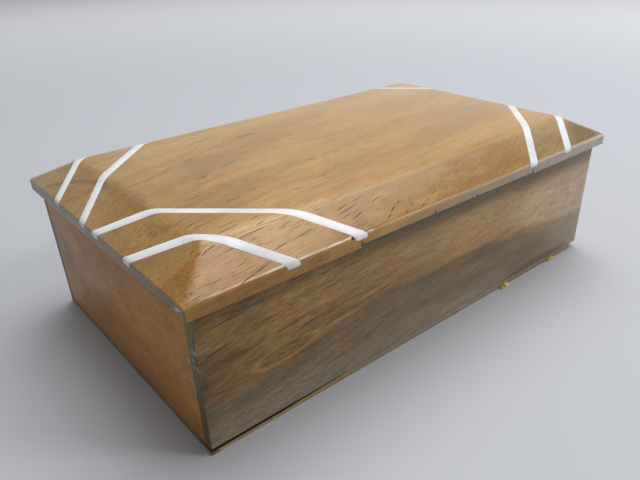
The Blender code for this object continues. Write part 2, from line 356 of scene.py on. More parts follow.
def lidCalm(g, x, y, z):
    # how strong the fine grain is
    calm = g.fit(x, -80, 30, 1.0, 0.5) * g.fit(g.fit(y, -47, -45) + g.fit(x, -30, -60), 0, 1, 0.7, 1)
    return calm + g.fit(y, -45, -48) * g.fit(x, 0, 34, 0, 0.3)


def wallCrowd(g, x, y, z):
    return g.fit(z, 14, 30, 0.35, 1.0) * g.fit(x, -70, 0, 1, 0.4)


def wallCalm(g, x, y, z):
    return g.fit(x, -60, 20, 1.1, 0.55) * g.fit(x, 50, 84, 1, 0.6)


# each mark is a place on the face as it is seen, along the grain and up or back, then half its
# length, half its width, its turn in degrees and its depth
lidMarks = {
    "smoke": [
        (-25.5, 25.5, 9, 2.3, 5, 0.95), (-55, 15, 5, 1.2, 14, 0.8), (-55, 6, 22, 13, 15, 0.3),
        (58, -6, 24, 18, 10, 0.2), (68, -22, 12, 4, 20, 0.3), (-79, 7, 9, 0.6, 14, 0.85),
        (-65, 12, 7, 0.65, 22, 0.9), (-55.5, 15.6, 5, 0.8, 14, 0.9), (-74.5, 7.5, 4.5, 0.6, 22, 0.85),
        (-46, 2.5, 14, 0.9, 25, 0.65), (-35, 8.5, 3.4, 1.8, 30, 0.65), (-40, 33, 17, 0.8, 20, 0.6),
        (-52, 23, 12, 1.0, 16, 0.5), (34, -19.5, 4.5, 0.8, 4, 0.4), (50, 4, 20, 1.6, 5, 0.25),
        (12, 16, 16, 1.0, 8, 0.2), (20, -34, 10, 1.0, 18, 0.3), (-62, -52.8, 3, 0.6, 0, 0.4),
        (22.5, -52.8, 3.5, 0.9, 22, 0.5), (6, -57.9, 2.2, 0.8, 20, 0.6), (-58, -7, 12, 0.8, 16, 0.5),
    ],
    "brown": [
        (-61, -3.4, 4, 1.2, 20, 0.8), (-69, -11.5, 7, 1.3, 10, 0.35), (-29.5, -30.2, 2.2, 1.6, 60, 0.4),
        (-18, 13.7, 4.6, 0.8, 3, 0.7), (-11, 13.5, 2.2, 0.6, 6, 0.6), (-4, -2, 5, 0.8, 2, 0.3),
        (-20, -25.5, 2.6, 0.6, 28, 0.5), (-75, 30, 6, 1.0, 20, 0.3), (0, -30, 4, 0.9, 15, 0.3),
        (28, -37, 4, 0.8, 18, 0.35), (3, -8, 6, 0.5, 4, 0.4), (-8, -13, 10, 0.5, 4, 0.35),
        (-90.6, -51.6, 1.7, 0.7, 30, 0.9), (-88.2, -49.4, 1.8, 0.6, 34, 0.9),
        (-95.9, -57.0, 1.3, 0.45, 10, 0.9), (-93.2, -54.4, 1.3, 0.45, 26, 0.8), (-87, -47.6, 1.5, 0.4, 20, 0.7),
    ],
    "dark": [
        # the first three dark marks, along the left shoulder, are painted shade
        (-85, 2, 4.2, 26, 0, 0.5), (-88.5, -26, 3, 9, 12, 0.5), (-84, 30, 4, 9, 20, 0.35),
        (30, -56, 30, 3.0, 0, 0.35), (0, -55, 9, 2.4, 12, 0.35), (-22, -56, 6, 2.0, 10, 0.3),
    ],
    "flame": [
        (-62, -36, 16, 2.5, 12, 0.3), (-30, -40, 20, 2.5, 10, 0.3), (-75, 25, 10, 3, 15, 0.3),
    ],
    "line": [
        # near the first corner, then between the strips, then beyond them
        (-86.6, -48.8, 2.0, 0.26, 20, 0.9), (-84.4, -48.2, 2.6, 0.24, 14, 0.9),
        (-85.2, -47, 1.4, 0.22, 24, 0.8), (-92.6, -18.6, 1.5, 0.26, 5, 0.8), (-92.2, -20.4, 1.8, 0.26, 5, 0.9),
        (-93.2, -22.4, 1.2, 0.26, 5, 0.7), (-91.2, -25.6, 1.4, 0.28, 5, 0.9), (-90.8, -27.4, 1.6, 0.28, 5, 0.8),
        (-93.5, -30, 1.2, 0.26, 5, 0.6), (-88.8, -46.2, 1.8, 0.3, 5, 0.8), (-88.4, -48.4, 1.6, 0.28, 5, 0.9),
        (-97.2, -55.4, 1.2, 0.26, 5, 0.7), (-94.6, -53.2, 1.4, 0.26, 5, 0.8), (-95.8, -57.2, 0.9, 0.3, 6, 0.9),
        (-89.2, -57, 4.4, 0.2, 3, 0.6), (-92.2, -54, 1.4, 0.2, 4, 0.6), (-90, -57.8, 1.8, 0.2, 4, 0.5),
        (-79.2, -55.1, 3.2, 0.2, 9, 0.6), (-80.4, -50.6, 3.4, 0.22, 8, 0.7), (-80.6, -59.4, 4.8, 0.24, 11, 0.9),
        (-75, -58.2, 4.2, 0.24, 12, 0.9), (-87, -59.2, 2.2, 0.18, 8, 0.5), (-70.6, -48.1, 6.6, 0.26, 3, 0.9),
        (-72.3, -50.2, 1.8, 0.22, 12, 0.7), (-78.1, -46.1, 1.9, 0.24, 22, 0.8),
        (-66.4, -45.7, 2.8, 0.24, 9, 0.8), (-62.4, -50, 2.2, 0.22, 3, 0.6), (-66, -54.5, 4.6, 0.2, 8, 0.9),
        (-58, -53.6, 6.0, 0.2, 8, 0.9), (-60, -47.6, 2.2, 0.18, 10, 0.5), (-69, -52.6, 2.4, 0.2, 0, 0.4),
        (-39.5, -50.2, 4.4, 0.22, 10, 0.8), (-33, -49.4, 3.0, 0.2, 7, 0.6), (-39, -51.5, 6.2, 0.22, 9, 0.8),
        (-40.8, -53.3, 3.6, 0.22, 8, 0.8), (-37, -54.3, 4.2, 0.26, 13, 1.0), (-27, -51.6, 4.0, 0.22, 11, 0.8),
        (-24.8, -52.7, 2.0, 0.2, 13, 0.5), (-27.2, -58.2, 2.3, 0.28, 25, 1.0), (-24, -56.4, 2.4, 0.26, 24, 1.0),
        (-20.6, -55.2, 1.9, 0.22, 14, 0.8), (-20.4, -59, 2.1, 0.28, 24, 1.0),
        (-16.6, -57.4, 2.2, 0.24, 20, 0.9), (-12.6, -58.9, 2.1, 0.26, 20, 1.0),
        (-9.2, -57.7, 2.1, 0.24, 17, 0.9), (-4, -56, 3.4, 0.22, 14, 0.8), (-3.4, -57.8, 2.4, 0.22, 15, 0.8),
        (1, -56.8, 2.2, 0.22, 15, 0.7), (16.4, -56.6, 1.8, 0.2, 18, 0.6), (10, -53.6, 1.8, 0.2, 26, 0.5),
        (24, -50.6, 1.8, 0.2, 22, 0.5), (32, -55.4, 2.2, 0.2, 20, 0.5), (-81, 5.4, 4.5, 0.35, 12, 0.85),
        (-71, 17.5, 4, 0.29, 16, 0.55), (-69, 9.4, 6.0, 0.35, 18, 0.85), (-74.5, 7.2, 3.6, 0.35, 22, 0.85),
        (-71, -17.4, 8.5, 0.32, 3, 0.85), (-63.7, -26.5, 4.8, 0.32, 3, 0.95), (-56, -29.4, 4, 0.29, 5, 0.65),
        (-74.5, -40.8, 5.4, 0.35, 8, 1), (-76.2, -43.6, 6, 0.35, 6, 1), (-80.2, -36.2, 4.2, 0.35, 10, 0.95),
        (-66.3, -42.3, 2.6, 0.35, 12, 1), (-84, -30.5, 2.6, 0.32, 10, 0.85), (-81.2, -33.8, 3.6, 0.32, 9, 0.95),
        (-83, -38, 2.8, 0.32, 9, 0.85), (-23.5, -15, 3.8, 0.38, 3, 0.95), (-15, -13.4, 5, 0.29, 10, 0.65),
        (-61, -4.2, 2.6, 0.38, 30, 0.85), (-52, -15.8, 5, 0.29, 5, 0.55), (-83.5, -4.5, 2.6, 0.29, 14, 0.65),
        (-82.5, 0.5, 2.2, 0.29, 14, 0.55), (-44, -34, 3.4, 0.29, 6, 0.55),
    ],
}

wallMarks = {
    "flame": [
        (-60, 34.7, 22, 1.6, -1, 0.9), (-92, 39.6, 8, 1.4, 6, 0.4), (-73, 7.4, 6, 2.2, 8, 0.6),
        (-48, 4, 14, 2.4, 6, 0.35), (22, 7, 12, 2.4, 0, 0.3), (12, 5.2, 15, 1.6, 0, 0.5),
        (-50, 5, 8, 1.4, 6, 0.4), (-45, 25.2, 12, 0.9, 2, 0.6), (28, 28.6, 11, 1.3, -3, 0.8),
        (8, 30, 18, 1.4, -3, 0.5), (-22, 38.5, 20, 1.6, -2, 0.5), (-33, 29.5, 7, 1.0, 8, 0.5),
        (23, 12, 3, 1.4, 0, 0.4), (50, 7, 8, 1.2, -4, 0.25), (-86, 26, 7, 1.2, 4, 0.4),
    ],
    "dark": [
        # the first two dark marks, just under the lid's rim, are dark grain together with painted shade from
        # the rim's overhang
        (-81, 44.5, 16, 0.9, -1, 0.9), (-52.5, 44.4, 3.6, 0.7, 0, 0.8), (-85, 30.8, 14, 2.4, 4, 0.85),
        (-40, 42.2, 16, 2.4, 0, 0.35), (6, 31, 13, 3.4, -3, 0.35), (-10, 34, 12, 1.4, -2, 0.3),
        (-82, 33, 11, 0.7, 3, 0.8), (-96.5, 22, 4, 13, 0, 0.7), (-96, 12, 4.5, 8, 0, 0.7),
        # the mark at 70 along and 4.4 up is painted shade along the foot
        (-85, 22.4, 5, 1.0, 4, 0.5), (70, 4.4, 18, 2.3, -1, 0.8), (-35, 30.6, 9, 1.2, 3, 0.5),
        (-26, 36.3, 12, 0.9, 1, 0.45),
    ],
    "smoke": [
        (-77, 29, 3, 1.2, 10, 0.7), (-50, 39, 4, 1.2, -4, 0.6), (-85, 14, 16, 4.6, -4, 0.75),
        (-62, 16.4, 16, 3.4, 4, 0.5), (-34.5, 11.8, 4.4, 2.2, 12, 0.8), (-28, 25, 18, 2.6, -1, 0.45),
        (-13, 14, 12, 3, -6, 0.4), (74, 19.5, 8, 1.4, -5, 0.5), (50, 20.4, 10, 1.6, -3, 0.25),
        (25, 37, 8, 1.0, -10, 0.3), (-57, 30.4, 9, 1.6, 8, 0.5), (-45, 33, 6, 0.8, 0, 0.4),
        (55, 12.5, 14, 2.4, -13, 0.45), (36, 16, 12, 2.0, -8, 0.35), (10, 35, 6, 1.0, 0, 0.3),
        (88, 12, 8, 1.6, -20, 0.4), (0, 23, 20, 2.2, -3, 0.4),
    ],
    "bright": [
        (-63, 12.1, 9, 0.36, 19, 0.35), (-36, 8.5, 5.2, 0.4, 3, 0.4), (-89.5, 14.4, 2, 0.25, 8, 0.35),
        (-57, 13.6, 2.6, 0.5, 10, 0.35), (-53, 8.4, 4.6, 0.4, 10, 0.3), (-78, 11, 5, 0.3, 18, 0.2),
        (-46, 38.2, 1.6, 0.5, -20, 0.4), (-60, 39, 2.6, 0.35, 2, 0.3),
    ],
    "line": [
        (-87.5, 43, 10, 0.26, 4, 0.9), (-74, 43.6, 4.6, 0.22, -2, 0.8), (-95.4, 39.3, 1.8, 0.24, 3, 0.9),
        (-90, 37.3, 3, 0.22, 14, 0.6), (-84, 38.4, 4.8, 0.2, 9, 0.6), (-75, 37.8, 7.2, 0.26, 3, 1.0),
        (-90.5, 35, 7.6, 0.3, 11, 1.0), (-96, 36, 2, 0.22, 8, 0.7), (-80, 40.8, 4, 0.16, 6, 0.5),
        (-69.7, 31.8, 3, 0.24, 12, 0.9), (-65, 31.9, 2.4, 0.24, 12, 0.9), (-60.5, 29.7, 5, 0.24, 9, 1.0),
        (-55.6, 30, 7.4, 0.2, 8, 0.8), (-51.3, 29.8, 3.8, 0.22, 16, 0.9), (-57.4, 32, 3.8, 0.22, 11, 0.7),
        (-50, 32.4, 4, 0.18, 3, 0.5), (-66, 25.2, 3.8, 0.22, 2, 0.9), (-65, 22.9, 4.6, 0.22, 0, 0.9),
        (-70.6, 23.4, 2, 0.22, -10, 0.8), (-76, 22.4, 3.2, 0.24, 0, 0.7), (-58, 26, 4, 0.2, 6, 0.7),
        (-50.6, 26.2, 5, 0.22, 8, 0.7), (-46, 24, 4, 0.2, 12, 0.6), (-92.4, 20.8, 4.8, 0.26, 2, 0.9),
        (-80.2, 19.7, 3.6, 0.22, 4, 0.8), (-73, 19.4, 2, 0.2, 6, 0.7), (-65, 20.1, 4.2, 0.22, 6, 0.8),
        (-84, 26.4, 5, 0.2, 10, 0.6), (-93, 28.4, 3.4, 0.2, 8, 0.6), (-90, 18.4, 4, 0.18, 2, 0.6),
        (-83.5, 5.7, 5.4, 0.26, 4, 0.5), (-68, 4.4, 5, 0.24, 0, 0.5), (-57, 5.6, 3, 0.24, 18, 0.5),
        (-28, 28.6, 4, 0.3, 6, 0.9), (-32, 33, 6, 0.24, 8, 0.5), (-20, 31.6, 5, 0.24, 10, 0.5),
        (-40, 27.4, 5, 0.22, 6, 0.6), (-35.5, 21, 6, 0.2, 8, 0.4), (-6, 36.6, 5, 0.22, 2, 0.4),
    ],
}

endMarks = {
    "smoke": [
        (24, 38, 10, 5, 20, 0.5), (31, 18, 7, 6, 0, 0.4), (48, 30, 12, 22, 0, 0.6),
    ],
    "flame": [
        (-10, 36, 24, 6, 5, 0.4), (-40, 20, 16, 10, 10, 0.4),
    ],
}


# seed shifts the pattern, sway and lean turn it, and pitch carries it into the depth; bands, fine,
# mottle and grit are its contrasts, pores is how dark they are and cast how far the colour leans
woods = {
    "lid": {
        "name": "lidWood", "grain": lidGrain, "calm": lidCalm, "crowd": lidCrowd, "marks": lidMarks,
        "seed": 0, "sway": 5.0, "lean": 0, "pitch": 0.6, "rough": 0.30, "gloss": 0.5,
        "bands": 0.35, "fine": 0.9, "mottle": 0.8, "grit": 0.4, "pores": 0.55, "cast": 0.32,
        "ground": "c49c5a", "middle": "b0864a", "dark": "785428", "smoke": "6e674c", "pore": "3e250c",
        "brown": "7e5626", "flame": "c88f4c", "pale": "c4a884", "red": "be7c44", "olive": "9c8644",
        "slopeDeep": "8a5c22", "slopeGrey": "9c9280", "slopeGold": "a77a16", "nearGold": "9a6614",
        "middleGold": "845608", "lowRight": "5c4c3a", "farLeft": "5c4420", "cloudDark": "8a6430",
        "cloudLight": "c8a050", "corner": "5a5034", "hip": "a86e18", "torn": "6e4410", "worn": "f6e0cd",
        "rimGold": "8a5a0c", "rimFootShade": "6c665c", "rimGreySheen": "a8a6a4", "arris": "6c645c",
        "rimEnd": "605d4a",
    },
    "wall": {
        "name": "wallWood", "grain": wallGrain, "calm": wallCalm, "crowd": wallCrowd, "marks": wallMarks,
        "seed": 40, "sway": 4.0, "lean": 0.07, "pitch": 0.8, "rough": 0.36, "gloss": 0.4,
        "bands": 0.45, "fine": 1.1, "mottle": 1.1, "grit": 0.5, "pores": 0.7, "cast": 0.28,
        "ground": "b28a55", "middle": "956e42", "dark": "43311c", "smoke": "585242", "pore": "24180a",
        "flame": "c48e5a", "pale": "c6ab86", "bright": "c8b494", "red": "946a3c", "olive": "6e653c",
        "leftGold": "66460a", "leftDark": "3a2a16", "eyeRing": "b8854c", "eyeLine": "4a3620",
        "cloudDark": "50402a", "cloudLight": "a8845e", "under": "6b614c", "band": "403428",
        "upper": "c4a47c", "farRightSheen": "aaa18e", "streak": "dcc096", "dirtAndShade": "3a2c1a",
        "planed": "4c5244", "foot": "a09482", "footStreak": "b49c7c", "footShade": "40362a",
        "speck": "b8a070",
    },
    "end": {
        "name": "endWood", "grain": endGrain, "marks": endMarks,
        "seed": 90, "sway": 6.0, "lean": 0, "pitch": 0.8, "rough": 0.42, "gloss": 0.3,
        "bands": 0.1, "fine": 0.15, "mottle": 0.3, "grit": 0.8, "pores": 0.12, "cast": 0.22,
        "ground": "c89048", "middle": "b47b38", "dark": "85592a", "smoke": "74624a", "pore": "4c3219",
        "flame": "c07a44", "red": "b46a38", "olive": "8c7440", "scuff": "c4aca0",
    },
    "panel": {
        "name": "panelWood", "grain": panelGrain, "marks": {},
        "seed": 130, "sway": 4.0, "lean": 0, "pitch": 0.8, "rough": 0.5, "gloss": 0.4,
        "bands": 0.3, "fine": 0.6, "mottle": 0.5, "grit": 0.4, "pores": 0.4, "cast": 0.2,
        "ground": "cbaa7c", "middle": "b59262", "dark": "7b5e3a", "pore": "513c25",
        "red": "b88858", "olive": "a49460",
        "edge": "8a8070", "edgeRightShade": "5a4a38", "edgeLeft": "6a5630", "endFace": "6b4a26",
    },
}


def poreLines(g, flow, along, across, share):
    # open pores: thin dashes, in only a share of the places where one could be
    inputs = {"Vector": g.stretch(flow, along, across, 0), "Scale": 1.0, "Randomness": 1.0}
    kind = {"voronoi_dimensions": "2D", "feature": "F1"}
    reach = g.node("TexVoronoi", kind, inputs, "Distance")
    chance = g.split(g.node("TexVoronoi", kind, inputs, "Color"))[0]
    return g.fit(reach, 0.10, 0.26, 1, 0) * g.fit(chance, 1 - share, 1 - share * 0.5)


def makeWood(look, plane, paint):
    g = Graph(look["name"])
    spot = g.split(g.place())
    along, across, deep = look["grain"](g, *spot)
    # the grain sways a little, and every pattern is drawn out along it
    sway = g.noise(g.join(along * 0.016, across * 0.06, deep * 0.06), detail=2) - 0.5
    level = across + sway * look["sway"]
    flow = g.join(along + look["seed"], level, deep)
    leaning = g.join(along + look["seed"], level - along * look["lean"], deep)
    broad = g.noise(g.stretch(flow, 0.012, 0.05, 0.05), detail=2)
    bands = g.noise(g.stretch(flow, 0.022, 0.30, 0.28), detail=4, rough=0.6)
    lines = g.noise(g.stretch(leaning, 0.08, 1.9, 1.9), detail=3, rough=0.65)
    mottle = g.noise(g.stretch(leaning, 0.33, 1.5, 1.5), detail=4, rough=0.65)
    grit = g.noise(g.stretch(leaning, 1.3, 2.4, 2.4), detail=2)
    strong = look["calm"](g, *spot) if "calm" in look else 1.0
    coat = Coat(g, look)
    coat.lay(g.fit(broad, 0.36, 0.62), "middle")
    coat.lay(g.fit(bands, 0.46, 0.74) * strong * look["bands"], "dark")
    fine = (lines - 0.5) * look["fine"] + (mottle - 0.5) * look["mottle"]
    fine = fine * strong + (grit - 0.5) * look["grit"] + 1

    crowd = g.fit(g.noise(g.stretch(flow, 0.02, 0.12, 0.12), detail=2), 0.38, 0.62, 0.45, 1.0)
    if "crowd" in look:
        crowd = crowd * look["crowd"](g, *spot)
    grain = g.join(along + look["seed"], level - along * look["lean"] + deep * look["pitch"], 0)
    pores = poreLines(g, grain, 0.055, 1.45, 0.5).orMore(poreLines(g, grain, 0.17, 2.1, 0.5) * 0.85)
    pores = pores * crowd * look["pores"]

    # single marks are laid on the face as it is seen, lines clean and the rest with ragged rims
    flat = [spot[n] for n in plane]
    clean = g.join(flat[0] + sway * 3, flat[1] + sway * 1.2, 0)
    ragged = g.join(flat[0] + sway * 6 + mottle * 2,
                    flat[1] + (lines + mottle - 1) * 1.6 + sway * 2, 0)
    for kind, marks in look["marks"].items():
        under, rim, full = (clean, 0.15, 0.6) if kind == "line" else (ragged, 0, 0.8)
        share = None
        for markAlong, markAcross, halfLong, halfWide, turn, depth in marks:
            inside = g.blot(under, (markAlong, markAcross, 0), (halfLong, halfWide, 1), turn)
            inside = g.fit(inside, rim, full, 0, depth)
            share = share.orMore(inside) if share else inside
        share = share * g.fit(lines, 0.3, 0.6, 0.65, 1.0)
        if kind == "line":
            pores = pores.orMore(share)
        else:
            coat.lay(share, kind)
    paint(g, spot, coat, lines)

    # the colour leans to red in some places and to olive in others
    cast = g.noise(g.stretch(leaning, 0.10, 0.34, 0.34), detail=4, rough=0.6)
    coat.lay(g.fit(cast, 0.5, 0.64, 0, look["cast"]), "red")
    coat.lay(g.fit(cast, 0.5, 0.36, 0, look["cast"]), "olive")
    coat.colour = g.node("VectorMath", {"operation": "SCALE"}, {0: coat.colour, "Scale": fine})
    coat.lay(pores, "pore")
    rough = g.fit(lines, 0.3, 0.7, look["rough"] - 0.04, look["rough"] + 0.06) + pores * 0.4
    waves = g.bump(g.noise(g.stretch(flow, 0.03, 0.10, 0.10), detail=2), 0.3, 0.5 * mm)
    g.feed("Specular IOR Level", look["gloss"])
    return coat.finish(rough, g.bump(lines * 0.3 + mottle * 0.4 - pores, 0.45, 0.12 * mm, waves))


# In the paint functions each fit says where a tone starts and where it is full, in millimetres
# of the box, and then, where these aren't 0 and 1, how strong it is at both places.

def paintLid(g, spot, coat, lines):
    x, y, z = spot
    # a growth ring curves over the left slope
    past = (y - 12).orMore(0)
    ring = abs(x + 87.5 + past * past * 0.0105 + (lines - 0.5) * 0.8)
    ring = g.fit(ring, 0.3, 1.6, 0.75, 0) * g.fit(y, 8, 20) * g.fit(y, 43, 47, 1, 0)
    coat.lay(ring * g.fit(z, 49.5, 49.7), "smoke")
    coat.lay(g.fit(x, -90, -5, 0.22, 0) * g.fit(y, -52, -30), "dark")
    # paler and greyer to the far right, as a painted sheen, and deeper on the front slope beyond the strips
    coat.lay(g.fit(x + y * 0.6, -10, 110, 0, 0.5) * g.fit(z, 58.5, 61), "pale")
    slope = g.fit(y, -46.4, -49) * g.fit(z, 53.6, 54.2)
    low = g.fit(y, -50, -56)
    deep = slope * g.fit(x, -56, -42) * (low * 0.12 + g.fit(x, 4, 22, 0.6, 0.48))
    coat.lay(deep * g.fit(x, 42, 58, 1, 0.5), "slopeDeep")
    coat.lay(slope * g.fit(x, 46, 64, 0, 0.46), "slopeGrey")
    coat.lay(slope * g.fit(x, -52, -40) * g.fit(x, 0, 12, 0.45, 0), "slopeGold")
    coat.lay(slope * g.fit(x, -79, -62, 0.68, 0) * (1 - low * 0.45), "nearGold")
    middle = slope * g.fit(y, -57.5, -54.5)
    coat.lay(middle * g.fit(x, -44, -32) * g.fit(x, 10, 26, 0.28, 0), "middleGold")
    coat.lay(slope * low * g.fit(x, 44, 58, 0, 0.34), "lowRight")
    coat.lay(g.fit(x, -58, -84) * g.fit(y, 12, 42, 0, 0.2), "farLeft")
    cloud = g.noise(g.join(x * 0.08, y * 0.3, z * 0.3), detail=4, rough=0.6)
    coat.lay(slope * g.fit(cloud, 0.5, 0.7, 0, 0.38), "cloudDark")
    coat.lay(slope * g.fit(cloud, 0.5, 0.32, 0, 0.34), "cloudLight")
    # the far right corner is darker, up to a ragged line across it
    ragged = g.noise(g.join(x * 0.22, y * 0.3, 0), detail=4, rough=0.6)
    corner = (x - lidHalfX) / 28.5 - (y + lidHalfY) / 29.5 + 1
    corner = g.fit(corner + (ragged - 0.5) * 0.5, 0, 0.35) * g.fit(z, 53.6, 54.6)
    coat.lay(corner * 0.55, "corner")
    # the near hip is rubbed to a deeper gold, mostly on its left
    hip = x + lidHalfX - (y + lidHalfY) + (lines + ragged - 1) * 4
    hip = g.fit(hip, -4.6, 0, 0, 0.8) * g.fit(hip, 0.8, 2.4, 1, 0)
    hip = hip * g.fit(x, -88, -84, 1, 0) * g.fit(z, 53.4, 54.4)
    coat.lay(hip, "hip")
    torn = g.fit(g.noise(g.join(x * 0.55, y * 0.95, 0), detail=3, rough=0.7), 0.54, 0.62)
    coat.lay(hip * torn, "torn")
    # the front arris is painted pale from the near corner to the first strip, as wear together with a painted
    # highlight
    worn = g.fit(abs(y + 60.0), 0.15, 0.75, 1, 0) * g.fit(abs(z - 54.15), 0.2, 0.7, 1, 0)
    worn = worn * g.fit(x, -99, -90, 0, 1) * g.fit(x, -43.5, -41.5, 1, 0)
    coat.lay(worn * 0.9, "worn")
    # the front of the rim is deep gold at the left, and greyer towards the right with a painted grey reflection
    front = g.fit(y, -60.1, -59.9, 1, 0) * g.fit(z, 54.0, 54.5, 1, 0)
    coat.lay(front * g.fit(x, -92, -12, 0.66, 0), "rimGold")
    # painted shade on the lower half of the rim's front, from near the first saw cut rightwards
    coat.lay(front * g.fit(x, -44, 0, 0, 0.3) * g.fit(z, 50.8, 52.6, 1, 0.3), "rimFootShade")
    coat.lay(front * (g.fit(x, -36, 46, 0, 0.5) + g.fit(x, 44, 52, 0, 0.2)), "rimGreySheen")
    # the arris is toned grey towards the right, a painted reflection
    arris = g.fit(y, -59.2, -59.7) * (g.fit(x, 14, 28, 0, 0.16) - g.fit(x, 54, 64, 0, 0.1))
    coat.lay(arris, "arris")
    rimEnd = g.fit(abs(x), 99.5, 99.8) * g.fit(z, 54.0, 54.3, 1, 0)
    coat.lay(rimEnd * g.fit(ragged, 0.3, 0.7, 0.5, 0.8), "rimEnd")


def paintWall(g, spot, coat, lines):
    x, y, z = spot
    # deeper and warmer at the left
    coat.lay(g.fit(x, -95, -40, 0.62, 0) * g.fit(z, 10, 22), "leftGold")
    coat.lay(g.fit(x, -92, -84, 0.35, 0) * g.fit(abs(z - 26), 6, 12, 1, 0), "leftDark")
    # an eye in the figure
    eyeX = x + 69 + (lines - 0.5) * 2
    eyeZ = z - 23.6 - eyeX * 0.06 + (lines - 0.5) * 1.2
    eye = (eyeX * eyeX * 0.0068 + eyeZ * eyeZ * 0.104).root()
    coat.lay(g.fit(abs(eye - 0.95), 0.04, 0.20, 0.62, 0), "eyeRing")
    coat.lay(g.fit(abs(eye - 0.66), 0.03, 0.12, 0.35, 0), "eyeLine")
    # grey-brown below a line that falls away to the right, darkest along it
    under = z + (lines - 0.5) * 4 - g.fit(x, -66, -36, 19, 26) + g.fit(x, 18, 95, 0, 9)
    cloud = g.noise(g.join(x * 0.07, (z - x * 0.16) * 0.42, y), detail=5, rough=0.62)
    coat.lay(g.fit(cloud, 0.5, 0.66, 0, 0.35), "cloudDark")
    coat.lay(g.fit(cloud, 0.5, 0.36, 0, 0.35), "cloudLight")
    share = g.fit(cloud, 0.36, 0.6, 0.42, 0.7) * g.fit(x, 50, 72, 1, 0.6)
    coat.lay((1 - g.fit(under, -2.4, 1.2)) * share, "under")
    band = g.fit(under, -9, -4) * g.fit(under, -1.5, 1, 1, 0)
    coat.lay(band * g.fit(x, -20, 5, 0, 0.4) * g.fit(x, 28, 46, 1, 0), "band")
    upper = g.fit(z, 28, 33) * g.fit(z, 40, 44, 1, 0)
    coat.lay(upper * g.fit(x, -62, 10, 0, 0.26), "upper")
    # paler high up towards the right end, lighter wood with a painted sheen over it, and greyer at the far
    # right as painted sheen
    pale = g.fit(under, 0.5, 5) * g.fit(z, 36, 43, 1, 0)
    coat.lay(pale * g.fit(x, 32, 58, 0, 0.66) * g.fit(x, 82, 96, 1, 0.4), "pale")
    coat.lay(g.fit(x, 50, 95, 0, 0.38), "farRightSheen")
    streaks = g.noise(g.join((x + z * 1.6) * 0.05, (z - x * 0.6) * 0.5, y), detail=4)
    coat.lay(g.fit(streaks, 0.3, 0.7, 0.2, 0.5) * g.fit(x, 36, 60) * pale, "streak")
    # painted shade together with old dirt under the lid, and painted shadow on the wall where the rim above is
    # planed away
    dirtAndShade = g.fit(abs(y), 56.9, 57.1) * g.fit(z + (lines - 0.5) * 3, 41.4, 45.2)
    dirtAndShade = dirtAndShade * (g.fit(x, -52, -38, 0.48, 0.7) - g.fit(x, 46, 56, 0, 0.06))
    coat.lay(dirtAndShade * g.fit(z, 46.2, 47.4, 1, 0.7), "dirtAndShade")
    planed = g.fit(y, -56.9, -57.1) * g.fit(z + x * 0.0056, 45.6, 47.4)
    planed = planed * g.fit(x, -41.3, -40.6) * g.fit(x, 45, 50, 1, 0)
    coat.lay(planed * 0.7, "planed")
    # greyer and rubbed at the foot, with one warm streak, and painted shade low along the foot at the right
    foot = g.fit(z, 4, 14, 0.58, 0) * g.fit(x, -98, -80, 0.5, 1)
    coat.lay(foot * g.fit(x, 36, 50, 1, 0.25), "foot")
    coat.lay(g.fit(abs(z - 5.4), 0.5, 2.2, 0.45, 0) * g.fit(abs(x - 13), 8, 17, 1, 0), "footStreak")
    footShade = g.fit(abs(z - 3.6), 0.8, 2.4, 0.42, 0)
    coat.lay(footShade * g.fit(x, 44, 62) * g.fit(x, 86, 93, 1, 0), "footShade")
    for speckX, speckZ in ((-89.9, 24.4), (-84.5, 22.1)):
        speck = g.blot(g.join(x, z, 0), (speckX, speckZ, 0), (0.4, 0.22, 1), 20)
        coat.lay(g.fit(speck, 0, 0.5, 0, 0.6), "speck")


def paintEnd(g, spot, coat, lines):
    x, y, z = spot
    # cloudy, with hardly a line in it
    cloud = g.noise(g.join(x * 0.1, y * 0.11, z * 0.15), detail=5, rough=0.62)
    coat.lay(g.fit(cloud, 0.42, 0.68, 0, 0.4), "dark")
    fleck = g.noise(g.join(x, y * 0.8, z * 0.9), detail=3)
    coat.lay(g.fit(fleck, 0.55, 0.75, 0, 0.5), "smoke")
    coat.lay(g.fit(fleck, 0.45, 0.28, 0, 0.5), "flame")
    # pale scuffs near the front corner of the left end
    scuff = g.noise(g.join(x, y * 0.9, z * 0.6), detail=4, rough=0.7)
    face = g.join(y, z, 0)
    near = g.blot(face, (-52, 29, 0), (13, 14, 1)).orMore(g.blot(face, (-41, 8, 0), (5, 4, 1)))
    coat.lay(g.fit(scuff, 0.5, 0.66) * near * 0.75, "scuff")


def paintPanel(g, spot, coat, lines):
    x, y, z = spot
    # the edge goes from pale at the left to the colour of the wall, with painted shade on it at the right
    front = g.fit(y, -57.2, -56.9, 1, 0)
    edge = front * g.fit(x, -52, -38)
    coat.lay(edge * g.fit(x, 38, 48, 0.9, 0.75), "edge")
    coat.lay(edge * g.fit(x, 38, 48, 0, 0.4), "edgeRightShade")
    coat.lay(front * g.fit(x, -94, -84) * g.fit(x, -52, -38, 0.4, 0), "edgeLeft")
    coat.lay(g.fit(x, -95.4, -95.0, 0.8, 0), "endFace")


lidWood = makeWood(woods["lid"], (0, 1), paintLid)
wallWood = makeWood(woods["wall"], (0, 2), paintWall)
endWood = makeWood(woods["end"], (1, 2), paintEnd)
panelWood = makeWood(woods["panel"], (0, 1), paintPanel)

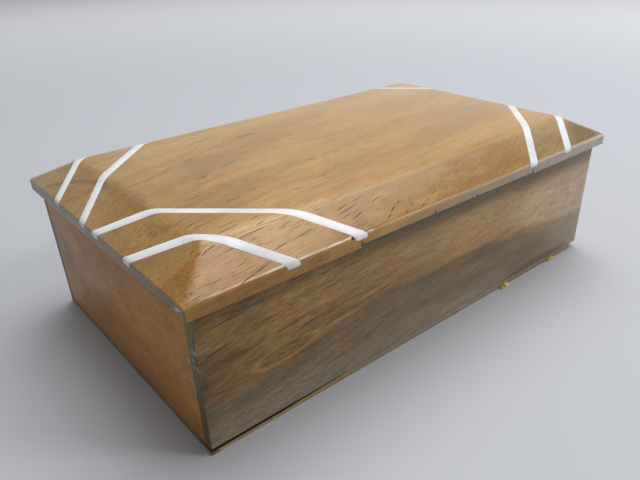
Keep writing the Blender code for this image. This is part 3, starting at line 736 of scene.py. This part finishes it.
cutLook = {"ground": "867a56", "dark": "564e34", "low": "463b20", "scuff": "c2bcb4", "rough": 0.5}
g = Graph("cutEnds")  # end grain, rubbed and scuffed
x, y, z = g.split(g.place())
dots = g.noise(g.join(x * 2.2, y * 2.2, z * 1.4), detail=4, rough=0.65)
rings = g.noise(g.join(x * 0.3, y * 0.9, z * 0.12), detail=2)
scuffs = g.fit(g.noise(g.join(x * 1.3, y * 1.3, z * 0.55), detail=4), 0.50, 0.60)
scuffs = scuffs * g.fit(abs(z - 35), 2, 6, 1, 0.05) * g.fit(y, -54.5, -55.5)
coat = Coat(g, cutLook)
coat.lay(g.fit(dots * 0.6 + rings * 0.4, 0.38, 0.62), "dark")
coat.lay(g.fit(z, 40, 8, 0, 0.85), "low")
coat.lay(scuffs * 0.6, "scuff")
cutRough = g.fit(dots, 0.3, 0.7, cutLook["rough"] - 0.06, cutLook["rough"] + 0.1)
cutEnds = coat.finish(cutRough, g.bump(dots, 0.3, 0.1 * mm))

# dark glue lies in the strips' kerfs; the same material is put into the panel's open gap and into small knocks
# as painted shade
glueLook = {"name": "darkGlueAndShade", "ground": "1d140c", "dark": "2c2016", "rough": 0.7}
# the faces inside the saw cuts are sawn wood painted dark, as painted shade in the narrow cuts
sawnLook = {"name": "sawCutShade", "ground": "63503a", "dark": "3c2e1f", "rough": 0.6}


def makeMottled(look):
    g = Graph(look["name"])
    coat = Coat(g, look)
    coat.lay(g.noise(g.place(), 2.0), "dark")
    return coat.finish(look["rough"])


darkGlueAndShade = makeMottled(glueLook)
sawCutShade = makeMottled(sawnLook)

oldGlueLook = {"ground": "b08c3c", "pale": "e4dab0", "rough": 0.4}
g = Graph("oldGlue")
spot = g.place()
x, y, z = g.split(spot)
coat = Coat(g, oldGlueLook)
coat.lay(g.fit(x + g.noise(spot, 0.9) * 3, 43.5, 45.5) * g.fit(x, 50, 52, 1, 0.2), "pale")
oldGlue = coat.finish(oldGlueLook["rough"], g.bump(g.noise(spot, 2.5, detail=3), 0.3, 0.1 * mm))

rawLook = {"ground": "f4e6e2", "deep": "a07868", "rough": 0.65}
g = Graph("rawWood")
splinters = g.noise(g.stretch(g.place(), 0.8, 4.0, 4.0), detail=3)
coat = Coat(g, rawLook)
coat.lay(g.fit(splinters, 0.35, 0.65), "deep")
rawWood = coat.finish(rawLook["rough"])

silverLook = {"ground": "eae8e8", "dull": "dddbda", "stain": "d9c58c", "left": "ffffff", "worn": "c4c3c4",
              "far": "dccfc6", "rough": 0.6, "metal": 0.2}
g = Graph("silverStrip")
spot = g.place()
x, y, z = g.split(spot)
scratch = g.noise(g.stretch(spot, 1.2, 1.2, 1.2), detail=5, rough=0.7)
coat = Coat(g, silverLook)
coat.lay(g.fit(g.noise(spot, 0.12, detail=3), 0.4, 0.7), "dull")
coat.lay(g.fit(g.blot(spot, (-66.4, -60.1, 53.8), (2.2, 1.4, 1.4)), 0.1, 0.6, 0, 0.6), "stain")
# the strips' parts on the left slope are painted whiter, as painted light on the side turned from the lamps
coat.lay(g.fit(x, -84, -90) * g.fit(z, 54, 54.6), "left")
coat.lay(g.fit(x, 10, 30) * g.fit(y, 0, 10), "far")
# the outer front strip is painted greyer on the front slope, as painted shade
coat.lay(g.fit(x, -82, -76) * g.fit(x, -64, -58, 0.6, 0) * g.fit(z, 60, 58), "worn")
g.feed("Metallic", silverLook["metal"])
silverRough = g.fit(scratch, 0.3, 0.7, silverLook["rough"] - 0.08, silverLook["rough"] + 0.12)
silver = coat.finish(silverRough, g.bump(scratch, 0.15, 0.05 * mm))

brassLook = {"ground": "c4a066", "dull": "a08250", "rough": 0.36, "dullRough": 0.5}
g = Graph("oldBrass")
spot = g.place()
coat = Coat(g, brassLook)
coat.lay(g.fit(g.noise(spot, 0.22, detail=4, rough=0.5), 0.35, 0.7), "dull")
g.feed("Metallic", 1.0)
worn = g.noise(spot, 2.0, detail=5)
brassRough = g.fit(worn, 0.3, 0.7, brassLook["rough"] - 0.06, brassLook["dullRough"])
rolled = g.noise(g.stretch(spot, 0.4, 5.0, 5.0), detail=2)
brass = coat.finish(brassRough, g.bump(rolled, 0.1, 0.02 * mm))
print("materials made")


lidLow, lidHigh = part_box("lid_board")
lid = {
    "rim": 4.35 * mm, "margin": 14.4 * mm,
    "arris": 0.5 * mm, "frontArris": 1.1 * mm, "hip": 2.0 * mm, "corner": 0.5 * mm, "foot": 0.15 * mm,
    "shoulder": {"front": 2.8 * mm, "back": 1.8 * mm, "left": 1.7 * mm, "right": 1.7 * mm},
    "stripDepth": 1.65 * mm, "stripWidth": 3.2 * mm, "stripEdge": 0.08 * mm, "stripRound": 0.6 * mm,
    "glue": 0.07 * mm,
    # each strip's side and end of the lid, and where it crosses them as shares of half a side
    "strips": {
        "front_left_inner": (-1, -1, 0.592, 0.939), "front_left_outer": (-1, -1, 0.339, 0.554),
        "back_left_inner": (1, -1, 0.542, 0.890), "back_left_outer": (1, -1, 0.310, 0.501),
        "front_right_inner": (-1, 1, 0.521, 0.883), "front_right_outer": (-1, 1, 0.285, 0.490),
        "back_right_inner": (1, 1, 0.475, 0.830), "back_right_outer": (1, 1, 0.288, 0.485),
    },
    # the relief under the front rim, between two saw cuts
    "pullTop": (1.1 * mm, 0.6 * mm), "pullDepth": 2.4 * mm,
    "sawCut": 0.5 * mm, "sawTop": 2.0 * mm, "sawDeep": 1.6 * mm,
    # how far the cutting blocks stand out past the wood
    "cutPast": 2 * mm, "slabUp": 4 * mm, "slabOut": 12 * mm, "floorPast": 4 * mm,
}
halfX, halfY = lidHigh.x, lidHigh.y
rimTop = lidLow.z + lid["rim"]
fall = (lidHigh.z - rimTop) / lid["margin"]


def lidForm(name, spread=0.0, drop=0.0):
    # a slab whose top face is drawn up and in; spread and drop give the kerfs' floor
    foot, edge, top = lidLow.z - spread - drop, rimTop - spread * fall - drop, lidHigh.z - drop
    made = addBlock(name, (-halfX - spread, -halfY - spread, foot), (halfX + spread, halfY + spread, edge))
    edit(made, "FACE")
    pick(made, "FACE", lambda face: face.normal.z > 0.9)
    pull(0, 0, top - edge)
    shrink = [(half - lid["margin"]) / (half + spread) for half in (halfX, halfY)]
    bpy.ops.transform.resize(value=(*shrink, 1), center_override=(0, 0, top))
    leave()
    return made


def weigh(piece, width, test, widest):
    # one bevel rounds every edge, each as wide as its weight says
    if pick(piece, "EDGE", test):
        bpy.ops.transform.edge_bevelweight(value=width / widest)


def roundLid(piece):
    edit(piece, "EDGE")
    near = 0.01 * mm
    flat = lambda edge, z: all(abs(v.co.z - z) < near for v in edge.verts)
    upright = lambda edge: abs(edge.verts[0].co.z - edge.verts[1].co.z) > near
    widest = max(lid["shoulder"].values())
    for side, axis, sign in (("front", 1, -1), ("back", 1, 1), ("left", 0, -1), ("right", 0, 1)):
        reach = (halfX, halfY)[axis] - lid["margin"]
        weigh(piece, lid["shoulder"][side],
              lambda e: flat(e, lidHigh.z) and abs(middleOf(e)[axis] * sign - reach) < near, widest)
    isFront = lambda e: middleOf(e).y < near - halfY
    weigh(piece, lid["arris"], lambda e: flat(e, rimTop) and not isFront(e), widest)
    weigh(piece, lid["frontArris"], lambda e: flat(e, rimTop) and isFront(e), widest)
    weigh(piece, lid["foot"], lambda e: flat(e, lidLow.z), widest)
    weigh(piece, lid["corner"], lambda e: upright(e) and middleOf(e).z < rimTop, widest)
    weigh(piece, lid["hip"], lambda e: upright(e) and middleOf(e).z > rimTop, widest)
    leave()
    step = piece.modifiers.new("round", "BEVEL")
    step.limit_method = "WEIGHT"
    step.width = widest
    step.segments = 5
    applyAll(piece)


def cornerSlab(name, place, width):
    # an upright block across one corner of the lid, as deep as the lid
    side, end, sideShare, endShare = place
    atEnd = Vector((end * halfX, side * halfY * (1 - endShare)))
    atSide = Vector((end * halfX * (1 - sideShare), side * halfY))
    run = atSide - atEnd
    middle = (atSide + atEnd) / 2
    deselect()
    bpy.ops.mesh.primitive_cube_add(
        size=1, location=(middle.x, middle.y, (lidLow.z + lidHigh.z) / 2 + lid["slabUp"] / 2),
        rotation=(0, 0, atan2(run.y, run.x)),
        scale=(run.length + lid["slabOut"], width, lidHigh.z - lidLow.z + lid["slabUp"]))
    return named(name)


def roundUnderside(piece, place, radius):
    # the two long lower edges
    side, end, sideShare, endShare = place
    run = Vector((-end * halfX * sideShare, side * halfY * endShare, 0)).normalized()
    across = Vector((-run.y, run.x, 0))
    edit(piece, "EDGE")

    def isLongLowerEdge(edge):
        if len(edge.link_faces) != 2:
            return False
        first, second = (face.normal for face in edge.link_faces)
        for a, b in ((first, second), (second, first)):
            if abs(a.dot(across)) > 0.99 and b.z < -0.5:
                return True
        return False

    if pick(piece, "EDGE", isLongLowerEdge):
        bpy.ops.mesh.bevel(offset=radius, segments=4, profile=0.5, affect="EDGES", clamp_overlap=True)
    leave()


def stripSolid(name, place, width, floorForm, topForm, radius):
    # a strip, or without a top the kerf that it lies in
    made = cornerSlab(name, place, width)
    if topForm:
        carve(made, topForm, "INTERSECT", keep=True)
    carve(made, floorForm, "DIFFERENCE", keep=True)
    roundUnderside(made, place, radius)
    return made


lidBoard = lidForm("lidBoard")
roundLid(lidBoard)
blank = copyOf(lidBoard, "lidBlank")
reach = lid["stripWidth"] + lid["floorPast"]
stripFloor = lidForm("stripFloor", reach, lid["stripDepth"])
kerfFloor = lidForm("kerfFloor", reach, lid["stripDepth"] + lid["glue"])
lidBoard.data.materials.append(lidWood)
stripPieces = []
for name, place in lid["strips"].items():
    strip = stripSolid("strip_" + name, place, lid["stripWidth"], stripFloor, blank, lid["stripRound"])
    kerf = stripSolid("kerf", place, lid["stripWidth"] + 2 * lid["glue"], kerfFloor, None,
                      lid["stripRound"] + lid["glue"])
    kerf.data.materials.append(darkGlueAndShade)
    carve(lidBoard, kerf, transfer=True)
    tidyMesh(strip)
    softenEdges(strip, lid["stripEdge"], angle=50)
    tidyMesh(strip)
    strip.data.materials.append(silver)
    shade(strip)
    stripPieces.append((strip, "inlay_" + name, "lid", "inlay_metal"))
for form in (stripFloor, kerfFloor, blank):
    bpy.data.objects.remove(form, do_unlink=True)
print("lid and strips shaped")

# relief under the front rim, planed from one saw cut to the other
leftCut = -halfX * (1 - lid["strips"]["front_left_inner"][2])
rightCut = halfX * (1 - lid["strips"]["front_right_inner"][2])
outY, downZ = -halfY - lid["cutPast"], lidLow.z - lid["cutPast"]
relief = addBlock("relief", (leftCut, outY, downZ), (rightCut, -halfY + lid["pullDepth"], lidLow.z))
edit(relief, "FACE")
for end, rise in zip((leftCut, rightCut), lid["pullTop"]):
    pick(relief, "VERT", lambda v: v.co.z > lidLow.z - mm and abs(v.co.x - end) < mm)
    bpy.ops.transform.translate(value=(0, 0, rise))
leave()
carve(lidBoard, relief)
for x in (leftCut, rightCut):
    cut = addBlock("sawCut", (x - lid["sawCut"] / 2, outY, downZ),
                   (x + lid["sawCut"] / 2, -halfY + lid["sawDeep"], lidLow.z + lid["sawTop"]))
    cut.data.materials.append(sawCutShade)
    carve(lidBoard, cut, transfer=True)

pinch = {"tail": 0.35, "tip": 0.15}  # how far a knock is drawn out at each end, and how thin it gets


def chipOut(wood, at, size, turn, stuff):
    # a knock in an edge: a block with a tail drawn out and pinched at both ends
    tail, tip = pinch["tail"], pinch["tip"]
    deselect()
    bpy.ops.mesh.primitive_cube_add(size=1, location=(0, 0, 0), scale=size)
    made = named("chip")
    edit(made, "FACE")
    for end in (-1, 1):
        pick(made, "FACE", lambda f: f.normal.x * end > 0.9)
        pull(end * size[0] * tail, 0, 0)
        bpy.ops.transform.resize(value=(1, tip, tip), center_override=(end * size[0] * (tail + 0.5), 0, 0))
    leave()
    made.rotation_euler = [radians(angle) for angle in turn]
    made.location = at
    bake(made)
    made.data.materials.append(stuff)
    carve(wood, made, transfer=True)


# the knock beside the tab and the two nicks are lined with the dark material, as painted shade in them
knocks = {
    "besideStrip": {
        "at": (-37.3 * mm, -halfY + 0.2 * mm, rimTop + 0.2 * mm), "size": (2.6 * mm, 1.1 * mm, 0.9 * mm),
        "turn": (35, 0, 3), "stuff": rawWood},
    "besideTab": {
        "at": (-44.4 * mm, -halfY, rimTop - 0.1 * mm), "size": (0.7 * mm, 1.2 * mm, 0.9 * mm),
        "turn": (0, 0, 0), "stuff": darkGlueAndShade},
    "leftRim": {
        "at": (-halfX, -56.9 * mm, lidLow.z + 2.4 * mm), "size": (2.2 * mm, 0.5 * mm, 1.6 * mm),
        "turn": (0, 20, 90), "stuff": rawWood},
    "nickLeft": {
        "at": (-8 * mm, -halfY, lidLow.z + 1.2 * mm), "size": (0.35 * mm, 0.9 * mm, 1.1 * mm),
        "turn": (0, 0, 0), "stuff": darkGlueAndShade},
    "nickRight": {
        "at": (14 * mm, -halfY, lidLow.z + 1.0 * mm), "size": (0.35 * mm, 0.9 * mm, 1.0 * mm),
        "turn": (0, 0, 0), "stuff": darkGlueAndShade},
}
for knock in knocks.values():
    chipOut(lidBoard, **knock)
print("finger relief cut")

bodyLow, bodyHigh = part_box("front_wall")
body = {
    "thick": 6.0 * mm, "lap": 3.2 * mm, "joint": 0.06 * mm, "corner": 0.5 * mm, "edge": 0.08 * mm,
    "setback": 4.5 * mm, "panelTop": 2.25 * mm,
    # the open glue line: how far it gapes at both of its left places, where it tapers, how deep it is
    "openGap": (1.2 * mm, 1.05 * mm), "gapPlaces": (-75 * mm, -44.8 * mm), "gapDeep": 9 * mm,
    # the worn top of the near corner: how much is gone, which way it faces and how it leans
    "worn": 1.5 * mm, "wornTurn": radians(40), "wornLean": 0.075,
}
endX, sideY = bodyHigh.x, -bodyLow.y


def longWall(name, side):
    # a long board, rebated at both ends for the end boards
    outer, lap, inner = [side * (sideY - cut) for cut in (0, body["lap"], body["thick"])]
    shoulder = endX - body["thick"]
    made = addBlock(name, (-shoulder, min(outer, inner), bodyLow.z),
                    (shoulder, max(outer, inner), bodyHigh.z))
    edit(made, "FACE")
    cutAcross((0, lap, 0), (0, 1, 0))
    for end in (-1, 1):
        isTongue = lambda f: f.normal.x * end > 0.9 and abs(f.calc_center_median().y) > abs(lap)
        pick(made, "FACE", isTongue)
        pull(end * body["thick"], 0, 0)
    near = 0.01 * mm
    isCorner = lambda e: (abs(abs(middleOf(e).x) - endX) < near and abs(middleOf(e).y - outer) < near
                          and abs(e.verts[0].co.z - e.verts[1].co.z) > mm)
    pick(made, "EDGE", isCorner)
    bpy.ops.mesh.bevel(offset=body["corner"], segments=4, profile=0.5, affect="EDGES")
    leave()
    return made


frontWall = longWall("frontWall", -1)
# years of handling wore the near corner flat at the top
edit(frontWall, "FACE")
slant = (-cos(body["wornTurn"]), -sin(body["wornTurn"]), body["wornLean"])
cutAcross((-endX + body["worn"], -sideY, bodyHigh.z), slant, remove=True)
leave()
backWall = longWall("backWall", 1)
ends = []
for name, end in (("leftEnd", -1), ("rightEnd", 1)):
    faces = sorted((end * endX, end * (endX - body["thick"] + body["joint"])))
    reachY = sideY - body["lap"] - body["joint"]
    ends.append(addBlock(name, (faces[0], -reachY, bodyLow.z), (faces[1], reachY, bodyHigh.z)))

panel = addBlock("bottomPanel", (-endX, -sideY, 0), (endX - body["setback"], sideY, body["panelTop"]))
edit(panel, "FACE")
for x in body["gapPlaces"]:
    cutAcross((x, 0, 0), (1, 0, 0))
cutAcross((0, body["gapDeep"] - sideY, 0), (0, 1, 0))
# the front edge is pressed down at the left
for x, gap in zip((-endX, body["gapPlaces"][0]), body["openGap"]):
    pick(panel, "VERT", lambda v: v.co.z > mm and abs(v.co.x - x) < mm and v.co.y < mm - sideY)
    bpy.ops.transform.translate(value=(0, 0, -gap))
leave()
softenEdges(panel, body["edge"], angle=60)
panel.data.materials.append(panelWood)

glueCrumbs = {
    # where each crumb of old glue is along the wall, how long and how high it is, in millimetres
    "places": ((40.6, 1.5, 1.0), (42.6, 1.9, 1.5), (44.4, 1.1, 0.8),
               (75.4, 1.5, 0.9), (77.3, 2.0, 1.4), (78.9, 1.0, 0.7)),
    # how a ball is squeezed and skewed, where it is cut off behind, and where it is set
    "narrow": 0.75, "out": 1.1, "push": 0.2 * mm, "lift": {1: 0.175 * mm, -1: -0.1 * mm},
    "back": 0.28 * mm, "forward": 0.3 * mm, "up": 0.02 * mm,
}
for x, long, high in glueCrumbs["places"]:
    # each is a ball squeezed out against the wall and flat where the table stopped it
    deselect()
    bpy.ops.mesh.primitive_ico_sphere_add(subdivisions=3, radius=mm, location=(0, 0, 0))
    crumb = named("crumb")
    edit(crumb, "FACE")
    bpy.ops.mesh.select_all(action="SELECT")
    bpy.ops.transform.resize(value=(long * glueCrumbs["narrow"], glueCrumbs["out"], high),
                             center_override=(0, 0, 0))
    for side, lift in glueCrumbs["lift"].items():
        pick(crumb, "FACE", lambda f: f.normal.x * side > 0.3 and f.normal.z > 0.3)
        bpy.ops.transform.translate(value=(side * glueCrumbs["push"], 0, lift))
    cutAcross((0, 0, 0), (0, 0, -1), remove=True)
    cutAcross((0, glueCrumbs["back"], 0), (0, 1, 0), remove=True)
    leave()
    crumb.location = (x * mm, -sideY - glueCrumbs["forward"], glueCrumbs["up"])
    bake(crumb)
    crumb.data.materials.append(oldGlue)
    joinTo(panel, crumb)
print("body shaped")


jointZ = (bodyHigh.z + lidLow.z) / 2
hinge = {
    "offset": 55 * mm, "length": 25 * mm, "leaf": 1.0 * mm, "reach": 5.5 * mm, "knuckle": 1.5 * mm,
    "axisY": 57.9 * mm, "pin": 0.6 * mm, "gap": 0.2 * mm,
    "screwOut": 7.5 * mm, "screwY": 54.25 * mm, "head": 1.35 * mm, "headDeep": 0.7 * mm,
    "shank": 0.7 * mm, "shankLong": 4.0 * mm, "point": 1.2 * mm, "tip": 0.2,
    "slot": 0.35 * mm, "slotDeep": 0.3 * mm,
    # room round the pin and the leaves, under the leaves, round the knuckles and round the screws
    "play": 0.1 * mm, "bedPlay": 0.05 * mm, "knucklePlay": 0.2 * mm,
    "sinkPlay": 0.06 * mm, "holePlay": 0.05 * mm,
    "leafEdge": 0.12 * mm, "screwEdge": 0.04 * mm, "pinEdge": 0.2 * mm,
    "cutPast": 3 * mm,  # how far the cutting blocks stand out past the work
}


def spans(centreX):
    # where the three knuckles start and end, from the left
    third = (hinge["length"] - 2 * hinge["gap"]) / 3
    starts = [centreX - hinge["length"] / 2 + n * (third + hinge["gap"]) for n in range(3)]
    return [(start, start + third) for start in starts]


def screwForm(name, x, face, sign, grow=0.0):
    # a cone for the head, drawn out into the shank and the point
    deselect()
    bpy.ops.mesh.primitive_cylinder_add(vertices=32, radius=hinge["head"] + grow, depth=hinge["headDeep"],
                                        location=(0, 0, -hinge["headDeep"] / 2))
    made = named(name)
    edit(made, "FACE")
    pick(made, "FACE", lambda f: f.normal.z < -0.9)
    narrow = (hinge["shank"] + grow) / (hinge["head"] + grow)
    bpy.ops.transform.resize(value=(narrow, narrow, 1), center_override=(0, 0, -hinge["headDeep"]))
    pull(0, 0, -hinge["shankLong"])
    pull(0, 0, -hinge["point"] - grow)
    bpy.ops.transform.resize(value=(hinge["tip"], hinge["tip"], 1), center_override=(0, 0, 0))
    leave()
    if sign < 0:
        made.rotation_euler = (pi, 0, 0)
    made.location = (x, hinge["screwY"], face)
    return bake(made)


def hingeLeaf(name, centreX, sign, gaps, face):
    half = hinge["length"] / 2
    low, high = sorted((face, face - sign * hinge["leaf"]))
    made = addBlock(name, (centreX - half, hinge["axisY"] - hinge["reach"], low),
                    (centreX + half, hinge["axisY"], high))
    barrel = addRod("barrel", hinge["knuckle"], centreX - half, centreX + half, hinge["axisY"], jointZ, 48)
    carve(made, barrel, "UNION")
    deep = hinge["knuckle"] + hinge["gap"]
    for start, finish in gaps:
        carve(made, addBlock("gap", (start, hinge["axisY"] - deep, jointZ - hinge["cutPast"]),
                             (finish, hinge["axisY"] + hinge["cutPast"], jointZ + hinge["cutPast"])))
    carve(made, addRod("bore", hinge["pin"] + hinge["play"], centreX - half - mm, centreX + half + mm,
                       hinge["axisY"], jointZ, 32))
    for offset in (-hinge["screwOut"], hinge["screwOut"]):
        carve(made, screwForm("sink", centreX + offset, face, sign, hinge["sinkPlay"]))
    tidyMesh(made)
    softenEdges(made, hinge["leafEdge"], angle=50)
    made.data.materials.append(brass)
    shade(made)
    return made


hingePieces = []
for hand, centreX in (("left", -hinge["offset"]), ("right", hinge["offset"])):
    (a, b), (c, d), (e, f) = spans(centreX)
    for role, sign, face, gaps, wood in (
            ("box", 1, bodyHigh.z, ((b, e),), backWall),
            ("lid", -1, lidLow.z, ((a - mm, c), (d, f + mm)), lidBoard)):
        leaf = hingeLeaf(f"{hand}Hinge{role.title()}Leaf", centreX, sign, gaps, face)
        hingePieces.append((leaf, f"{hand}_hinge_{role}_leaf", role, "hinge_brass"))
        # the wood is cut away under the leaf, and deeper under the knuckles
        half = hinge["length"] / 2 + hinge["play"]
        room = hinge["knuckle"] + hinge["knucklePlay"]
        for bed, reach in ((face - sign * (hinge["leaf"] + hinge["bedPlay"]), hinge["reach"] + hinge["play"]),
                           (jointZ - sign * room, room)):
            low, high = sorted((bed, face + sign * hinge["cutPast"]))
            carve(wood, addBlock("bed", (centreX - half, hinge["axisY"] - reach, low),
                                 (centreX + half, halfY + hinge["cutPast"], high)))
        for end, offset in (("left", -hinge["screwOut"]), ("right", hinge["screwOut"])):
            name = f"{hand}Hinge{role.title()}Screw{end.title()}"
            carve(wood, screwForm("hole", centreX + offset, face, sign, hinge["holePlay"]))
            screw = screwForm(name, centreX + offset, face, sign)
            low, high = sorted((face + sign * mm, face - sign * hinge["slotDeep"]))
            left, right = (centreX + offset + way * hinge["cutPast"] for way in (-1, 1))
            carve(screw, addBlock("slot", (left, hinge["screwY"] - hinge["slot"] / 2, low),
                                  (right, hinge["screwY"] + hinge["slot"] / 2, high)))
            softenEdges(screw, hinge["screwEdge"])
            screw.data.materials.append(brass)
            shade(screw)
            hingePieces.append((screw, f"{hand}_hinge_{role}_screw_{end}", role, "screw_brass"))
    half = hinge["length"] / 2
    pin = addRod(f"{hand}HingePin", hinge["pin"], centreX - half, centreX + half, hinge["axisY"], jointZ, 32)
    softenEdges(pin, hinge["pinEdge"], segments=3, angle=50)
    pin.data.materials.append(brass)
    shade(pin)
    hingePieces.append((pin, f"{hand}_hinge_pin", "box", "hinge_brass"))
print("hinges shaped")


def finishFaces(piece, stuff, test):
    # one finish for the faces that pass a test
    piece.data.materials.append(stuff)
    slot = len(piece.data.materials) - 1
    for face in piece.data.polygons:
        if test(face):
            face.material_index = slot


for piece, wood in ((lidBoard, None), (frontWall, wallWood), (backWall, wallWood), (ends[0], endWood),
                    (ends[1], endWood), (panel, None)):
    tidyMesh(piece)
    if wood:
        piece.data.materials.append(wood)
        softenEdges(piece, body["edge"], angle=60)
    shade(piece)
for wall in (frontWall, backWall):
    finishFaces(wall, cutEnds, lambda f: abs(f.normal.x) > 0.5 and abs(f.center.x) > endX - 2 * mm)
# the panel's top in the open gap at the front left gets the dark glue, as painted shade in the gap
finishFaces(panel, darkGlueAndShade, lambda f: f.normal.z > 0.9 and f.center.y < body["gapDeep"] - sideY
            and f.center.x < body["gapPlaces"][1])

for piece, node, part, slot in (
        (lidBoard, "lid_board", "lid", "lid_wood"), (frontWall, "front_wall", "box", "wall_wood"),
        (backWall, "back_wall", "box", "wall_wood"), (ends[0], "left_end", "box", "end_wood"),
        (ends[1], "right_end", "box", "end_wood"), (panel, "bottom_panel", "box", "panel_wood"),
        *stripPieces, *hingePieces):
    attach(piece, part)
    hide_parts(node)
print("pieces placed")


floorLook = {"size": 6.0, "ground": "c0c3c9", "far": "f4f6fa", "rough": 0.6, "fade": (350, 1300)}
deselect()
bpy.ops.mesh.primitive_plane_add(size=floorLook["size"], location=(0, 0, 0))
floor = named("floor")
g = Graph("paleFloor")
x, y, z = g.split(g.place())
coat = Coat(g, floorLook)
coat.lay(g.fit((x * x + y * y).root(), *floorLook["fade"]), "far")
floor.data.materials.append(coat.finish(floorLook["rough"]))

# the camera and the gloss see a pale room, and the rest gets a plain soft light from it
roomLook = {"colour": "f4f5f8", "light": 0.24, "horizon": 1.0, "overhead": 0.3, "fade": (0.16, 0.5)}
world = bpy.data.worlds.new("studio")
bpy.context.scene.world = world
g = Graph("studio", world)
cameraRay, glossRay, glassRay = (
    g.node("LightPath", output=f"Is {kind} Ray") for kind in ("Camera", "Glossy", "Transmission"))
seen = cameraRay.maths("ADD", cameraRay, glossRay.orMore(glassRay), use_clamp=True)
x, y, z = g.split(g.node("TexCoord", output="Generated"))
bright = g.fit(z, *roomLook["fade"], roomLook["horizon"], roomLook["overhead"])
g.feed("Strength", g.fit(seen, 0, 1, roomLook["light"], bright, "LINEAR"))
g.feed("Color", tint(roomLook["colour"]))

lamps = {
    "ceiling": {"at": (0.42, 0.24, 1.22), "size": (1.1, 1.1), "power": 14.0},
    "window": {"at": (0.56, -0.70, 0.80), "size": (0.26, 0.26), "power": 3.0},
    "lowCard": {"at": (1.00, -0.44, 0.22), "size": (0.9, 0.4), "power": 2.6},
}
lampTarget = Vector((0, 0, 30 * mm))
for name, lamp in lamps.items():
    light = bpy.data.lights.new(name, "AREA")
    light.shape = "RECTANGLE"
    light.size, light.size_y = lamp["size"]
    light.energy = lamp["power"]
    lampObject = bpy.data.objects.new(name, light)
    bpy.context.scene.collection.objects.link(lampObject)
    lampObject.location = lamp["at"]
    aim = lampTarget - Vector(lamp["at"])
    lampObject.rotation_euler = aim.to_track_quat("-Z", "Y").to_euler()

# angles in degrees, focal length and middle in pixels of the picture
view = {"at": (-149.05 * mm, -177.57 * mm, 133.41 * mm), "yaw": 39.71, "pitch": 29.935, "roll": -1.57,
        "focal": 599.36, "middle": (335.35, 270.74), "picture": (640, 480), "sensor": 36.0}
cameraData = bpy.data.cameras.new("camera")
camera = bpy.data.objects.new("camera", cameraData)
bpy.context.scene.collection.objects.link(camera)
cameraData.sensor_width = view["sensor"]
cameraData.lens = view["focal"] * view["sensor"] / view["picture"][0]
cameraData.shift_x = (view["picture"][0] / 2 - view["middle"][0]) / view["picture"][0]
cameraData.shift_y = (view["middle"][1] - view["picture"][1] / 2) / view["picture"][0]
cameraData.clip_start = 0.01
turn = (Matrix.Rotation(radians(-view["yaw"]), 4, "Z") @ Matrix.Rotation(radians(90 - view["pitch"]), 4, "X")
        @ Matrix.Rotation(radians(view["roll"]), 4, "Z"))
camera.matrix_world = Matrix.Translation(view["at"]) @ turn
bpy.context.scene.camera = camera
bpy.context.scene.view_settings.view_transform = "Standard"
print("stage set")
